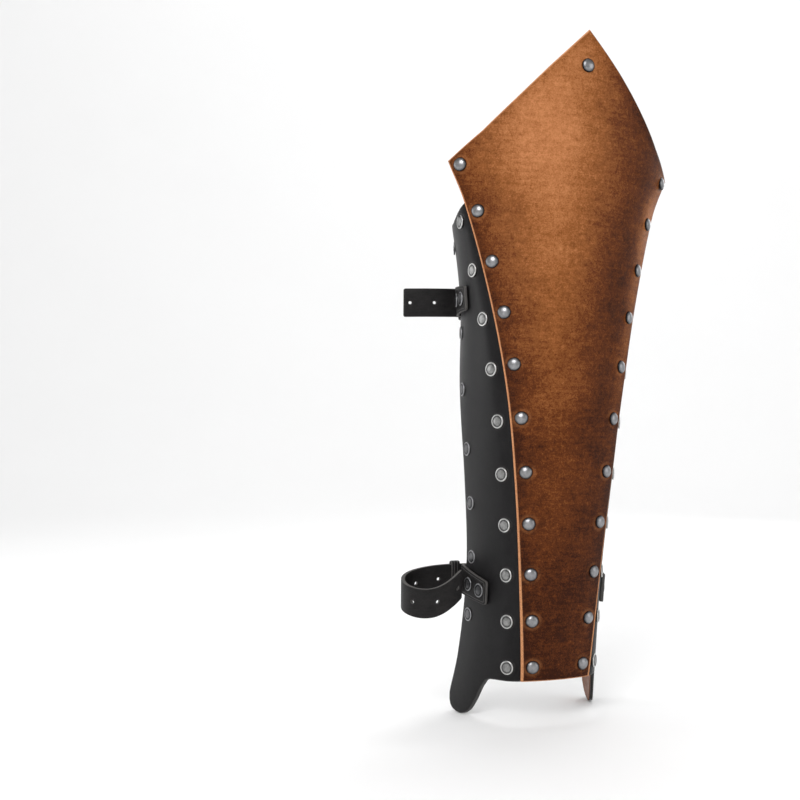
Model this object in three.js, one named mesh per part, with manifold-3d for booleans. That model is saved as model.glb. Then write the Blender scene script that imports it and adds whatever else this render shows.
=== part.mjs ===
// Leather greave for one shin, as worn: a thick front plate over a soft liner and two side panels,
// riveted together, with two buckled straps across the open back.
// Millimetres. +Z runs up the leg, the shin faces -Y and +X is the wearer's left.
import * as THREE from "three";
import { mergeVertices } from "three/addons/utils/BufferGeometryUtils.js";
import Module from "manifold-3d";

const wasm = await Module();
wasm.setup();

// Driving dimensions of the leather
const HEIGHT = 450; // tips of the ankle tabs to the knee peak
const SHIN_DEPTH = 45; // how far the knee peak stands ahead of the shin line at the ankle
const KNEE_HALF = 86.6; // shin line to a corner of the front plate, along the leather
const WRAP = 123; // shin line to the back edge at the calf, along the leather
const PLATE_THICK = 3;
const PANEL_THICK = 1.4;
const LINER_THICK = 1.3;
const GAP = 0.35; // air left between pieces that lie on each other
const LIFT = 0.6; // air under a strap or chape, which is straight where the wall is curved

// Driving dimensions of the rivets
const CAP_RADIUS = 4.5;
const CAP_HEIGHT = 2.2;
const BACK_RADIUS = 4;
const BACK_HEIGHT = 1.2;
const SHANK_RADIUS = 1.2;
const RIVET_SIDES = 6;
const PLATE_MARGIN = 7.5; // rivet centre to the edge of the plate
const BACK_MARGIN = 8.5; // and to the back edge
const ROW_PITCH = 16.5; // plate row to the row beside it, square to the plate's edge

// Driving dimensions of the straps and buckles
const STRAP_WIDTH = 19.5;
const STRAP_THICK = 2.6;
const CHAPE_THICK = 2.2;
const CORNER_RADIUS = 5.5; // bend of a strap round the back edge
const HOLE_RADIUS = 1.6;
const HOLE_PITCH = 16.6;
const END_MARGIN = 4.5; // strap end to its last hole
const ROOT_MARGIN = 11; // root end of a strap to its first rivet
const CHAPE_MARGIN = 7; // front end of a chape to its first rivet
const BAR_X = -30; // where the buckle bars stand
const BAR_THICK = 2.4;
const FRAME_THICK = 2.6;
const FRAME_BAND = 6;
const FRAME_REACH = 31; // bar to the outer edge of the frame's round end
const FRAME_HEIGHT = 35;
const FRAME_CHEEK = 2.9; // bar to the ends of the frame behind it
const PRONG_THICK = 2.2;
const PRONG_WIDTH = 3.6;
const KEEPER_WIDTH = 6;
const KEEPER_THICK = 1.4;
const KEEPER_SLACK = 0.5; // room for the chape, which bends inside the keeper
const UPPER_LEVEL = HEIGHT * 0.624; // height of the upper strap
const LOWER_LEVEL = HEIGHT * 0.19; // height of the lower strap at its root
const LOWER_RISE = HEIGHT * 0.013; // how much higher the lower buckle sits than the root
const LOWER_CHAPE_DROP = 6.5; // how much lower the front of the lower chape sits than its buckle
const UPPER_KEEPER_SHIFT = 1.5; // keeper's place towards the buckle from where the chape turns the corner
const LOWER_KEEPER_SHIFT = -8.5;
const UPPER_TAIL = 38; // keeper to the end of the strap
const UPPER_TAIL_LEAN = 10; // degrees that the strap's end leans away from the leg
const UPPER_TAIL_SAG = 1;
const LOOP_RADIUS = 15.5; // curl of the lower strap's free end
const LOOP_STRAIGHT = 22; // keeper to the start of the curl
const LOOP_RETURN = 20; // end of the curl to the end of the strap
const LOOP_OPENING = 2; // how far the strap's end comes back towards the rest of the curl
const LOOP_DROP = 12;
const LOOP_DROP_BEFORE = 0.2; // share of the drop that is made before the curl

const EYE_INNER = 2.2; // leather eye round a bar, and the metal eye of the prong beside it
const EYE_OUTER = EYE_INNER + CHAPE_THICK;
const PRONG_EYE_OUTER = 3.4;
const PRONG_EYE_WIDTH = 5;

// Levels that follow from the thicknesses: out from the side panels' outer face
const PLATE_OUTER = GAP + PLATE_THICK;
const LINER_OUTER = -PANEL_THICK - GAP;

// and out from the line through a buckle's bar
const STRAP_UNDER = -(FRAME_THICK / 2 + GAP + STRAP_THICK / 2); // strap beneath the round end
const STRAP_OVER = EYE_OUTER + GAP + STRAP_THICK / 2; // strap over the chape's eye
const CHAPE_LINE = -(EYE_INNER + EYE_OUTER) / 2; // chape beneath the bar
const STRAP_RESTS = CHAPE_LINE + CHAPE_THICK / 2 + GAP + STRAP_THICK / 2; // strap on the chape
const PRONG_RESTS = FRAME_THICK / 2 + GAP + PRONG_THICK / 2; // prong on the round end

// A strap's route through its buckle: how far past the bar, as a share of FRAME_REACH, and how far out
const STRAP_ROUTE = [
  { past: 1, out: STRAP_UNDER },
  { past: 0.613, out: STRAP_UNDER },
  { past: 0.484, out: STRAP_UNDER * 0.4 },
  { past: 0.355, out: STRAP_OVER * 0.5 },
  { past: 0.21, out: STRAP_OVER },
  { past: -0.065, out: STRAP_OVER },
  { past: -0.226, out: (STRAP_OVER + STRAP_RESTS) / 2 },
  { past: -0.387, out: STRAP_RESTS },
];

// A prong's tongue: its place and half width as shares of its length and of PRONG_WIDTH
const PRONG_ROUTE = [
  { past: 0.096, out: PRONG_RESTS * 0.2, half: 0.5 },
  { past: 0.75, out: PRONG_RESTS, half: 0.42 },
  { past: 1, out: PRONG_RESTS, half: 0.3 },
];

// Shape of the leg at each height: height as a share of HEIGHT, shin as a share of SHIN_DEPTH,
// plate (shin line to plate edge) as a share of KNEE_HALF, wrap as a share of WRAP, and the way
// the leather faces, in degrees round from the shin, at the plate's edge, the side and the back edge.
const SECTIONS = [
  { height: 0.0, shin: 0.0, plate: 0.27, wrap: 0.732, edgeTurn: 11, sideTurn: 54, backTurn: 80 },
  { height: 0.089, shin: 0.169, plate: 0.293, wrap: 0.698, edgeTurn: 18, sideTurn: 59, backTurn: 85 },
  { height: 0.222, shin: 0.344, plate: 0.344, wrap: 0.68, edgeTurn: 27, sideTurn: 64, backTurn: 87 },
  { height: 0.356, shin: 0.487, plate: 0.41, wrap: 0.711, edgeTurn: 30, sideTurn: 62, backTurn: 90 },
  { height: 0.489, shin: 0.604, plate: 0.501, wrap: 0.814, edgeTurn: 34, sideTurn: 67, backTurn: 99 },
  { height: 0.622, shin: 0.671, plate: 0.648, wrap: 0.92, edgeTurn: 40, sideTurn: 80, backTurn: 114 },
  { height: 0.756, shin: 0.747, plate: 0.86, wrap: 1.0, edgeTurn: 45, sideTurn: 91, backTurn: 120 },
  { height: 0.813, shin: 0.813, plate: 1.0, wrap: 1.02, edgeTurn: 45, sideTurn: 96, backTurn: 122 },
  { height: 1.0, shin: 1.0, plate: 1.44, wrap: 1.04, edgeTurn: 35, sideTurn: 102, backTurn: 124 },
];
const SIDE_SHARE = 0.2; // the side lies this share of the way from the plate's edge to the back edge

// Outlines across the leather. A place across is 0 at the shin line, 1 at the plate's edge and
// 2 at the back edge, and height is a share of HEIGHT.
const LINER_TOP = [
  { across: 0, height: 0.967 },
  { across: 0.07, height: 0.958 },
  { across: 0.2, height: 0.909 },
  { across: 0.4, height: 0.845 },
  { across: 0.7, height: 0.797 },
  { across: 1, height: 0.758 },
  { across: 1.17, height: 0.747 },
  { across: 1.34, height: 0.74 },
  { across: 1.5, height: 0.735 },
  { across: 1.75, height: 0.732 },
  { across: 2, height: 0.702 },
];
const TAB_OUTLINE = [
  { across: 1.22, height: 0.061 },
  { across: 1.34, height: 0.061 },
  { across: 1.41, height: 0.058 },
  { across: 1.48, height: 0.046 },
  { across: 1.53, height: 0.028 },
  { across: 1.6, height: 0.009 },
  { across: 1.66, height: 0.002 },
  { across: 1.73, height: 0 },
  { across: 1.87, height: 0.004 },
  { across: 1.95, height: 0.013 },
  { across: 2, height: 0.03 },
];
const PLATE_BOTTOM = 0.062;
const CORNER_HEIGHT = 0.813;
const PANEL_FRONT = 0.4; // the side panels start here, under the plate

// Rivet heights as shares of HEIGHT, from the knee down
const PLATE_ROW = [0.808, 0.7435, 0.672, 0.6, 0.526, 0.449, 0.371, 0.296, 0.222, 0.153, 0.084];
const BACK_ROW = [0.703, 0.576, 0.491, 0.402, 0.321, 0.239, 0.151];
const PEAK_RIVET = 0.95;

// Where each strap and chape ends on its wall, measured from the shin line along the leather
const UPPER_ROOT = 76;
const LOWER_ROOT = 45;
const UPPER_CHAPE = 79.5;
const LOWER_CHAPE = 54;
const ROOT_PITCH = 20.5; // between the two rivets of a strap
const CHAPE_PITCH = 13; // between the two rivets of a chape

// Places across at which the leather is shaped, the heights that every wall shares, and how many
// steps each wall takes below and above them
const FRONT_COLUMNS = [0, 0.07, 0.2, 0.4, 0.7, 1];
const SIDE_COLUMNS = [1.1, 1.22, 1.5, 1.75, 2];
const TAB_COLUMN = 1.5; // from here back the walls run down past the tabs, which are then cut out
const SHARED_HEIGHTS = [0.09, 0.18, 0.27, 0.4, 0.52, 0.62, 0.69];
const LOW_STEPS = 1;
const HIGH_STEPS = 3;
const WALL_STEPS = 5; // steps of a strap along its wall
const BEND_STEPS = 3; // and round the back edge
const TAIL_STEPS = 3;
const LOOP_STEPS = 7;
const RETURN_STEPS = 2;
const FRAME_STEPS = 7;
const HOLE_SIDES = 5;
const SHANK_HOLE_SIDES = 3;
const EYE_SIDES = 8;
const CAP_SHOULDER = { radius: 0.64, height: 0.74 }; // a cap's bend, as shares of its own size
const CHAPE_TAPER = 0.82; // front of a chape as a share of its width at the back edge
const PROBE = 20; // how far off a face a level is looked for
const TRIM = 3; // how far the walls and the tool for the tabs run past each other
const HOLE_RUN = 16; // length of the tool that cuts a rivet's hole, half of it each way

const leatherBrown = { color: 0x8a5630, roughness: 0.55, metalness: 0 };
const leatherBlack = { color: 0x1e1d1e, roughness: 0.5, metalness: 0 };
const leatherGrained = { color: 0x171617, roughness: 0.7, metalness: 0 };
const antiqueSilver = { color: 0x8d9093, roughness: 0.35, metalness: 1 };

const greave = new THREE.Group();

function addMesh(name, geometry, look) {
  const mesh = new THREE.Mesh(geometry, new THREE.MeshStandardMaterial(look));
  mesh.name = name;
  greave.add(mesh);
}

// A smooth value between the rows of a table, on a cubic through the rows
function smoothValue(rows, key, at) {
  const last = rows.length - 2;
  let i = rows.findIndex((row, k) => k > 0 && at <= row.height) - 1;
  if (i < 0) i = at <= rows[0].height ? 0 : last;
  const slope = (k) => {
    const a = rows[Math.max(k - 1, 0)];
    const b = rows[Math.min(k + 1, rows.length - 1)];
    return (b[key] - a[key]) / (b.height - a.height);
  };
  const step = rows[i + 1].height - rows[i].height;
  const t = THREE.MathUtils.clamp((at - rows[i].height) / step, 0, 1);
  const turnIn = slope(i) * step;
  const turnOut = slope(i + 1) * step;
  const rise = rows[i + 1][key] - rows[i][key];
  return rows[i][key] + t * turnIn + t * t * (3 * rise - 2 * turnIn - turnOut)
    + t * t * t * (turnIn + turnOut - 2 * rise);
}

// A value on straight lines between the rows of an outline
function outlineHeight(rows, across) {
  const i = Math.max(rows.findIndex((row) => across <= row.across), 1);
  const t = (across - rows[i - 1].across) / (rows[i].across - rows[i - 1].across);
  return HEIGHT * THREE.MathUtils.lerp(rows[i - 1].height, rows[i].height, t);
}

function plateHalf(z) {
  return Math.min(KNEE_HALF * smoothValue(SECTIONS, "plate", z / HEIGHT), KNEE_HALF);
}

function wrapReach(z) {
  return WRAP * smoothValue(SECTIONS, "wrap", z / HEIGHT);
}

// Distance from the shin line along the leather for a place across
function reachAt(across, z) {
  if (across <= 1) return across * plateHalf(z);
  return THREE.MathUtils.lerp(plateHalf(z), wrapReach(z), across - 1);
}

// A point on the leather: side is 1 on the wearer's left and -1 on the right, reach is measured
// from the shin line, and offset is how far out it stands from the outer face of the side panels.
function onLeather(side, reach, z, offset) {
  const share = z / HEIGHT;
  const half = plateHalf(z);
  const wrap = wrapReach(z);
  const ends = [half, THREE.MathUtils.lerp(half, wrap, SIDE_SHARE), wrap, Infinity];
  const turnOf = (key) => THREE.MathUtils.degToRad(smoothValue(SECTIONS, key, share));
  const turns = [turnOf("edgeTurn"), turnOf("sideTurn"), turnOf("backTurn"), turnOf("backTurn")];
  let x = 0;
  let y = -SHIN_DEPTH * smoothValue(SECTIONS, "shin", share);
  let start = 0;
  let turn = 0;
  for (let k = 0; k < ends.length && reach > start; k += 1) {
    const run = Math.min(reach, ends[k]) - start;
    const bend = k < ends.length - 1 ? (turns[k] - turn) * (run / (ends[k] - start)) : 0;
    const chord = Math.abs(bend) > 1e-6 ? (run * Math.sin(bend / 2)) / (bend / 2) : run;
    x += chord * Math.cos(turn + bend / 2);
    y += chord * Math.sin(turn + bend / 2);
    turn += bend;
    start = ends[k];
  }
  const normal = new THREE.Vector3(side * Math.sin(turn), -Math.cos(turn), 0);
  const point = new THREE.Vector3(side * x, y, z).addScaledVector(normal, offset);
  return { point, normal, turn };
}

// Geometry for a closed body from two grids of points, one for each face. The cells before the
// middle column are split the other way, so that a body on both sides mirrors.
function shell(outer, inner, middle = 0) {
  const rows = outer.length;
  const columns = outer[0].length;
  const side = columns - 1;
  const top = rows - 1;
  const points = [...outer.flat(), ...inner.flat()];
  const index = [];
  const outerAt = (r, c) => r * columns + c;
  const innerAt = (r, c) => rows * columns + outerAt(r, c);
  const quad = (a, b, c, d, flip = false) => {
    index.push(...(flip ? [b, c, d, b, d, a] : [a, b, c, a, c, d]));
  };
  for (let r = 0; r + 1 < rows; r += 1) {
    for (let c = 0; c + 1 < columns; c += 1) {
      quad(outerAt(r, c), outerAt(r, c + 1), outerAt(r + 1, c + 1), outerAt(r + 1, c), c < middle);
      quad(innerAt(r, c), innerAt(r + 1, c), innerAt(r + 1, c + 1), innerAt(r, c + 1), c < middle);
    }
    quad(outerAt(r, 0), outerAt(r + 1, 0), innerAt(r + 1, 0), innerAt(r, 0));
    quad(outerAt(r + 1, side), outerAt(r, side), innerAt(r, side), innerAt(r + 1, side));
  }
  for (let c = 0; c + 1 < columns; c += 1) {
    quad(outerAt(0, c + 1), outerAt(0, c), innerAt(0, c), innerAt(0, c + 1));
    quad(outerAt(top, c), outerAt(top, c + 1), innerAt(top, c + 1), innerAt(top, c));
  }
  const geometry = new THREE.BufferGeometry().setFromPoints(points);
  geometry.setIndex(index);
  return geometry;
}

// Joins and cuts
function toSolid(geometry) {
  const bare = geometry.clone();
  bare.deleteAttribute("normal");
  bare.deleteAttribute("uv");
  const merged = mergeVertices(bare, 1e-4);
  return new wasm.Manifold(new wasm.Mesh({
    numProp: 3,
    vertProperties: new Float32Array(merged.attributes.position.array),
    triVerts: new Uint32Array(merged.index.array),
  }));
}

function toGeometry(solid) {
  const mesh = solid.getMesh();
  const geometry = new THREE.BufferGeometry();
  geometry.setAttribute("position", new THREE.BufferAttribute(mesh.vertProperties, 3));
  geometry.setIndex(new THREE.BufferAttribute(mesh.triVerts, 1));
  geometry.computeVertexNormals();
  return geometry;
}

function cut(geometry, tools) {
  return toGeometry(tools.reduce((solid, tool) => solid.subtract(tool), toSolid(geometry)));
}

// A matrix that puts a shape's +Y along a direction at a point
function placeAlong(point, direction) {
  const turn = new THREE.Quaternion().setFromUnitVectors(new THREE.Vector3(0, 1, 0), direction);
  return new THREE.Matrix4().compose(point, turn, new THREE.Vector3(1, 1, 1));
}

// A leather wall between two heights at each place across, on one side or on both
function heightsAcross(bottom, top) {
  const low = HEIGHT * SHARED_HEIGHTS[0];
  const high = HEIGHT * SHARED_HEIGHTS[SHARED_HEIGHTS.length - 1];
  const heights = [];
  for (let k = 0; k < LOW_STEPS; k += 1) {
    heights.push(THREE.MathUtils.lerp(bottom, low, k / LOW_STEPS));
  }
  SHARED_HEIGHTS.forEach((share) => heights.push(HEIGHT * share));
  for (let k = 1; k <= HIGH_STEPS; k += 1) {
    heights.push(THREE.MathUtils.lerp(high, top, k / HIGH_STEPS));
  }
  return heights;
}

function leatherWall(columns, bottomAt, topAt, outerOffset, thickness) {
  const stations = columns.map(({ side, across }) => ({
    side,
    across,
    heights: heightsAcross(bottomAt(across), topAt(across)),
  }));
  const at = ({ side, across, heights }, row, offset) => {
    const z = heights[row];
    return onLeather(side, reachAt(across, z), z, offset).point;
  };
  const face = (offset) => stations[0].heights.map((_, row) => (
    stations.map((station) => at(station, row, offset))
  ));
  const middle = stations.filter(({ side }) => side < 0).length;
  return shell(face(outerOffset), face(outerOffset - thickness), middle);
}

const bothSides = (columns) => [
  ...columns.slice(1).reverse().map((across) => ({ side: -1, across })),
  ...columns.map((across) => ({ side: 1, across })),
];
const linerBottom = (across) => (across < TAB_COLUMN ? HEIGHT * TAB_OUTLINE[0].height : -TRIM);
const linerTop = (across) => outlineHeight(LINER_TOP, across);
const plateTop = (across) => HEIGHT * THREE.MathUtils.lerp(1, CORNER_HEIGHT, across);
const plateBottom = () => HEIGHT * PLATE_BOTTOM;

// What is cut away below the ankle tabs: everything under their outline, seen from the side
function tabToolGeometry() {
  const points = TAB_OUTLINE.map(({ across, height }) => {
    const z = HEIGHT * height;
    return new THREE.Vector2(onLeather(1, reachAt(across, z), z, LINER_OUTER).point.y, z);
  });
  const front = points[0];
  const back = points[points.length - 1];
  const outline = new THREE.Shape([
    new THREE.Vector2(front.x - TRIM, front.y),
    ...points,
    new THREE.Vector2(back.x + TRIM * 2, back.y + TRIM * 4),
    new THREE.Vector2(back.x + TRIM * 2, -TRIM * 2),
    new THREE.Vector2(front.x - TRIM, -TRIM * 2),
  ]);
  const geometry = new THREE.ExtrudeGeometry(outline, { depth: WRAP * 2, bevelEnabled: false });
  geometry.translate(0, 0, -WRAP);
  geometry.applyMatrix4(new THREE.Matrix4().makeBasis(
    new THREE.Vector3(0, 1, 0),
    new THREE.Vector3(0, 0, 1),
    new THREE.Vector3(1, 0, 0),
  ));
  return geometry;
}

// The walls before any holes
const FULL_COLUMNS = [...FRONT_COLUMNS, ...SIDE_COLUMNS];
const PANEL_COLUMNS = FULL_COLUMNS.filter((across) => across >= PANEL_FRONT);
const SIDES = [{ name: "left", side: 1 }, { name: "right", side: -1 }];
const tabTool = toSolid(tabToolGeometry());
const trimmed = (wall) => toGeometry(toSolid(wall).subtract(tabTool));
const plateWall = leatherWall(bothSides(FRONT_COLUMNS), plateBottom, plateTop, PLATE_OUTER, PLATE_THICK);
const linerWall = trimmed(
  leatherWall(bothSides(FULL_COLUMNS), linerBottom, linerTop, LINER_OUTER, LINER_THICK),
);
const panelWalls = {};
SIDES.forEach(({ name, side }) => {
  const columns = PANEL_COLUMNS.map((across) => ({ side, across }));
  if (side < 0) columns.reverse();
  panelWalls[name] = trimmed(leatherWall(columns, linerBottom, linerTop, 0, PANEL_THICK));
});

// The level of a wall's face under a disc round a place, measured along the place's normal: the
// highest level met from outside or the lowest one met from inside.
function faceLevel(geometry, { point, normal }, radius, fromOutside) {
  const wall = new THREE.Mesh(geometry);
  const sign = fromOutside ? 1 : -1;
  const across = new THREE.Vector3(-normal.y, normal.x, 0).normalize();
  const up = new THREE.Vector3().crossVectors(normal, across);
  const levels = [];
  [0, radius / 2, radius].forEach((reach) => {
    for (let k = 0; k < RIVET_SIDES * 2; k += 1) {
      const angle = (Math.PI * k) / RIVET_SIDES;
      const origin = point.clone()
        .addScaledVector(normal, sign * PROBE)
        .addScaledVector(across, reach * Math.cos(angle))
        .addScaledVector(up, reach * Math.sin(angle));
      const ray = new THREE.Raycaster(origin, normal.clone().multiplyScalar(-sign));
      const [hit] = ray.intersectObject(wall);
      if (hit) levels.push(sign * (PROBE - hit.distance));
    }
  });
  return fromOutside ? Math.max(...levels) : Math.min(...levels);
}

// Rivets: a domed cap on the outside, a shank through every layer and a back on the inside
function turned(profile, place) {
  const points = profile.map(([radius, level]) => new THREE.Vector2(radius, level));
  const geometry = new THREE.LatheGeometry(points, RIVET_SIDES);
  geometry.applyMatrix4(placeAlong(place.point, place.normal));
  return geometry;
}

const capProfile = (base) => [
  [CAP_RADIUS, base],
  [CAP_RADIUS * CAP_SHOULDER.radius, base + CAP_HEIGHT * CAP_SHOULDER.height],
  [0, base + CAP_HEIGHT],
];
const backProfile = (top) => [
  [0, top - BACK_HEIGHT],
  [BACK_RADIUS, top],
];
const rivetAt = (place, capBase, backTop) => turned([
  ...backProfile(backTop),
  [SHANK_RADIUS, backTop],
  [SHANK_RADIUS, capBase],
  ...capProfile(capBase),
], place);

function addRivet(name, place, outerWall, innerWall) {
  const capBase = faceLevel(outerWall, place, CAP_RADIUS, true) + GAP;
  const backTop = faceLevel(innerWall, place, BACK_RADIUS, false) - GAP;
  addMesh(name, rivetAt(place, capBase, backTop), antiqueSilver);
}

// The hole for a shank is three-sided, with the clearance on its flats, and the cap hides it
function holeTool(place) {
  const radius = (SHANK_RADIUS + GAP) * 2;
  const geometry = new THREE.CylinderGeometry(radius, radius, HOLE_RUN, SHANK_HOLE_SIDES);
  geometry.applyMatrix4(placeAlong(place.point, place.normal));
  return toSolid(geometry);
}

const plateHoles = [];
const panelHoles = { left: [], right: [] };
const linerHoles = [];
const linerHole = (place) => linerHoles.push(holeTool(place));
const panelHole = (name, place) => panelHoles[name].push(holeTool(place));

const peakPlace = onLeather(1, 0, HEIGHT * PEAK_RIVET, 0);
addRivet("rivet_peak", peakPlace, plateWall, linerWall);
plateHoles.push(holeTool(peakPlace));
linerHole(peakPlace);

const besidePlaces = { left: [], right: [] };
SIDES.forEach(({ name, side }) => {
  PLATE_ROW.forEach((share, row) => {
    const z = HEIGHT * share;
    const place = onLeather(side, plateHalf(z) - PLATE_MARGIN, z, 0);
    const overLiner = row > 0; // the corner rivet only dresses the plate
    addRivet(`rivet_plate_${name}_${row + 1}`, place, plateWall, overLiner ? linerWall : plateWall);
    plateHoles.push(holeTool(place));
    if (!overLiner) return;
    panelHole(name, place);
    linerHole(place);
    const lean = Math.atan((plateHalf(z + 1) - plateHalf(z - 1)) / 2);
    const beside = z - ROW_PITCH * Math.sin(lean);
    const reach = plateHalf(z) - PLATE_MARGIN + ROW_PITCH * Math.cos(lean);
    besidePlaces[name].push(onLeather(side, reach, beside, 0));
  });
  BACK_ROW.forEach((share, row) => {
    const z = HEIGHT * share;
    const place = onLeather(side, wrapReach(z) - BACK_MARGIN, z, 0);
    addRivet(`rivet_back_${name}_${row + 1}`, place, panelWalls[name], linerWall);
    panelHole(name, place);
    linerHole(place);
  });
});

// Straps, chapes, buckles and keepers. A band is a strip of leather or metal that stands on edge.
// Each of its stations has an outer and an inner pair of points, lower one first.
function band(stations, side) {
  const ordered = side > 0 ? stations : [...stations].reverse();
  const face = (key) => [0, 1].map((end) => ordered.map((station) => station[key][end]));
  return shell(face("outer"), face("inner"));
}

// Stations of a band that stands upright along a plan, given the way it has come
function uprightStations(plan, side, thickness, before) {
  return plan.map(({ x, y, z, half }, k) => {
    const a = k > 0 ? plan[k - 1] : before ?? plan[k];
    const b = plan[Math.min(k + 1, plan.length - 1)];
    const out = new THREE.Vector3(b.y - a.y, a.x - b.x, 0).setLength(thickness / 2);
    const pair = (sign) => [-half, half].map((lift) => (
      new THREE.Vector3(x, y, z + lift).addScaledVector(out, side * sign)
    ));
    return { outer: pair(1), inner: pair(-1) };
  });
}

// A band's stations along one wall and round its back edge, until it heads straight across the
// back at lineY. Each edge of the band follows the wall at its own height.
function wallStations(side, start, levelAt, halfAt, thickness, lineY) {
  const offset = LIFT + thickness / 2;
  const edges = [-1, 1].map((end) => {
    const points = [];
    for (let k = 0; k <= WALL_STEPS; k += 1) {
      const share = k / WALL_STEPS;
      const z = levelAt(share) + end * halfAt(share);
      points.push(onLeather(side, THREE.MathUtils.lerp(start, wrapReach(z), share), z, offset));
    }
    const { point: last, turn } = points[points.length - 1];
    const radius = (lineY - last.y) / (1 + Math.cos(turn));
    for (let k = 1; k <= BEND_STEPS; k += 1) {
      const angle = THREE.MathUtils.lerp(turn, Math.PI, k / BEND_STEPS);
      const point = new THREE.Vector3(
        last.x + side * radius * (Math.sin(angle) - Math.sin(turn)),
        last.y + radius * (Math.cos(turn) - Math.cos(angle)),
        last.z,
      );
      points.push({ point, normal: new THREE.Vector3(side * Math.sin(angle), -Math.cos(angle), 0) });
    }
    return points;
  });
  const shifted = ({ point, normal }, shift) => point.clone().addScaledVector(normal, shift);
  return edges[0].map((_, k) => ({
    outer: edges.map((points) => shifted(points[k], thickness / 2)),
    inner: edges.map((points) => shifted(points[k], -thickness / 2)),
  }));
}

// Where a band straight across the back lies when it leaves a wall round the corner radius
function crossingLine(side, z, thickness) {
  const { point, turn } = onLeather(side, wrapReach(z), z, LIFT + thickness / 2);
  return {
    x: point.x - side * CORNER_RADIUS * Math.sin(turn),
    y: point.y + CORNER_RADIUS * (1 + Math.cos(turn)),
  };
}

// A strap from its buckle's round end to its free end
function strapPlan(system, barPoint, keeperX) {
  const half = STRAP_WIDTH / 2;
  const roundEnd = BAR_X + FRAME_REACH;
  const steps = STRAP_ROUTE.map(({ past, out }) => ({ x: BAR_X + FRAME_REACH * past, out }));
  steps.push({ x: keeperX - KEEPER_WIDTH / 2 - KEEPER_THICK, out: STRAP_RESTS });
  const plan = steps.map(({ x, out }) => {
    const share = (system.crossing.x - x) / (system.crossing.x - roundEnd);
    const z = system.level + system.rise * THREE.MathUtils.clamp(share, 0, 1);
    return { x, y: barPoint.y + out, z, half };
  });
  return [...plan, ...system.tail(plan[plan.length - 1])];
}

// Free end of the upper strap: it stands straight out, leaning a little away from the leg
function straightTail(from) {
  const lean = THREE.MathUtils.degToRad(UPPER_TAIL_LEAN);
  const stations = [];
  for (let k = 1; k <= TAIL_STEPS; k += 1) {
    const share = k / TAIL_STEPS;
    stations.push({
      x: from.x - UPPER_TAIL * share * Math.cos(lean * share),
      y: from.y + UPPER_TAIL * share * Math.sin(lean * share),
      z: from.z - UPPER_TAIL_SAG * share,
      half: from.half,
    });
  }
  return stations;
}

// Free end of the lower strap: it runs out, curls round towards the shin and ends by the chape
function curledTail(from) {
  const stations = [{
    x: from.x - LOOP_STRAIGHT / 2,
    y: from.y,
    z: from.z - (LOOP_DROP * LOOP_DROP_BEFORE) / 2,
    half: from.half,
  }];
  const centre = { x: from.x - LOOP_STRAIGHT, y: from.y - LOOP_RADIUS };
  for (let k = 0; k <= LOOP_STEPS; k += 1) {
    const angle = (Math.PI * k) / LOOP_STEPS;
    stations.push({
      x: centre.x - LOOP_RADIUS * Math.sin(angle),
      y: centre.y + LOOP_RADIUS * Math.cos(angle),
      z: from.z - LOOP_DROP * THREE.MathUtils.lerp(LOOP_DROP_BEFORE, 1, k / LOOP_STEPS),
      half: from.half,
    });
  }
  for (let k = 1; k <= RETURN_STEPS; k += 1) {
    const share = k / RETURN_STEPS;
    stations.push({
      x: centre.x + LOOP_RETURN * share,
      y: centre.y - LOOP_RADIUS + LOOP_OPENING * share,
      z: from.z - LOOP_DROP * (1 - share),
      half: from.half,
    });
  }
  return stations;
}

// Length of a plan, and where it passes a given length from its end, for the holes
function planLength(plan) {
  return plan.slice(1).reduce((sum, { x, y, z }, k) => (
    sum + Math.hypot(x - plan[k].x, y - plan[k].y, z - plan[k].z)
  ), 0);
}

function alongFromEnd(plan, length) {
  let left = length;
  for (let k = plan.length - 1; k > 0; k -= 1) {
    const a = new THREE.Vector3(plan[k].x, plan[k].y, plan[k].z);
    const b = new THREE.Vector3(plan[k - 1].x, plan[k - 1].y, plan[k - 1].z);
    const run = a.distanceTo(b);
    if (left <= run) {
      const direction = b.clone().sub(a).setZ(0).normalize();
      return {
        point: a.lerp(b, left / run),
        normal: new THREE.Vector3(-direction.y, direction.x, 0),
      };
    }
    left -= run;
  }
  return null;
}

function punchTool({ point, normal }) {
  const geometry = new THREE.CylinderGeometry(HOLE_RADIUS, HOLE_RADIUS, STRAP_THICK * 2, HOLE_SIDES);
  geometry.applyMatrix4(placeAlong(point, normal));
  return toSolid(geometry);
}

// The prong: an eye on the bar and a tapering tongue that rests on the frame's round end
function prongGeometry(barPoint, spare) {
  const length = FRAME_REACH - GAP * 3;
  const plan = PRONG_ROUTE.map(({ past, out, half }) => ({
    x: barPoint.x + length * past,
    y: barPoint.y + out,
    z: barPoint.z,
    half: PRONG_WIDTH * half + spare,
  }));
  return band(uprightStations(plan.reverse(), 1, PRONG_THICK + 2 * spare), 1);
}

// A thick-walled ring round a bar, with flat ends
function eyeGeometry(barPoint, inner, outer, width) {
  const corners = [[inner, -1], [outer, -1], [outer, 1], [inner, 1], [inner, -1]];
  const profile = corners.map(([radius, end]) => new THREE.Vector2(radius, (end * width) / 2));
  const geometry = new THREE.LatheGeometry(profile, EYE_SIDES);
  geometry.applyMatrix4(placeAlong(barPoint, new THREE.Vector3(0, 0, 1)));
  return geometry;
}

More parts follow.
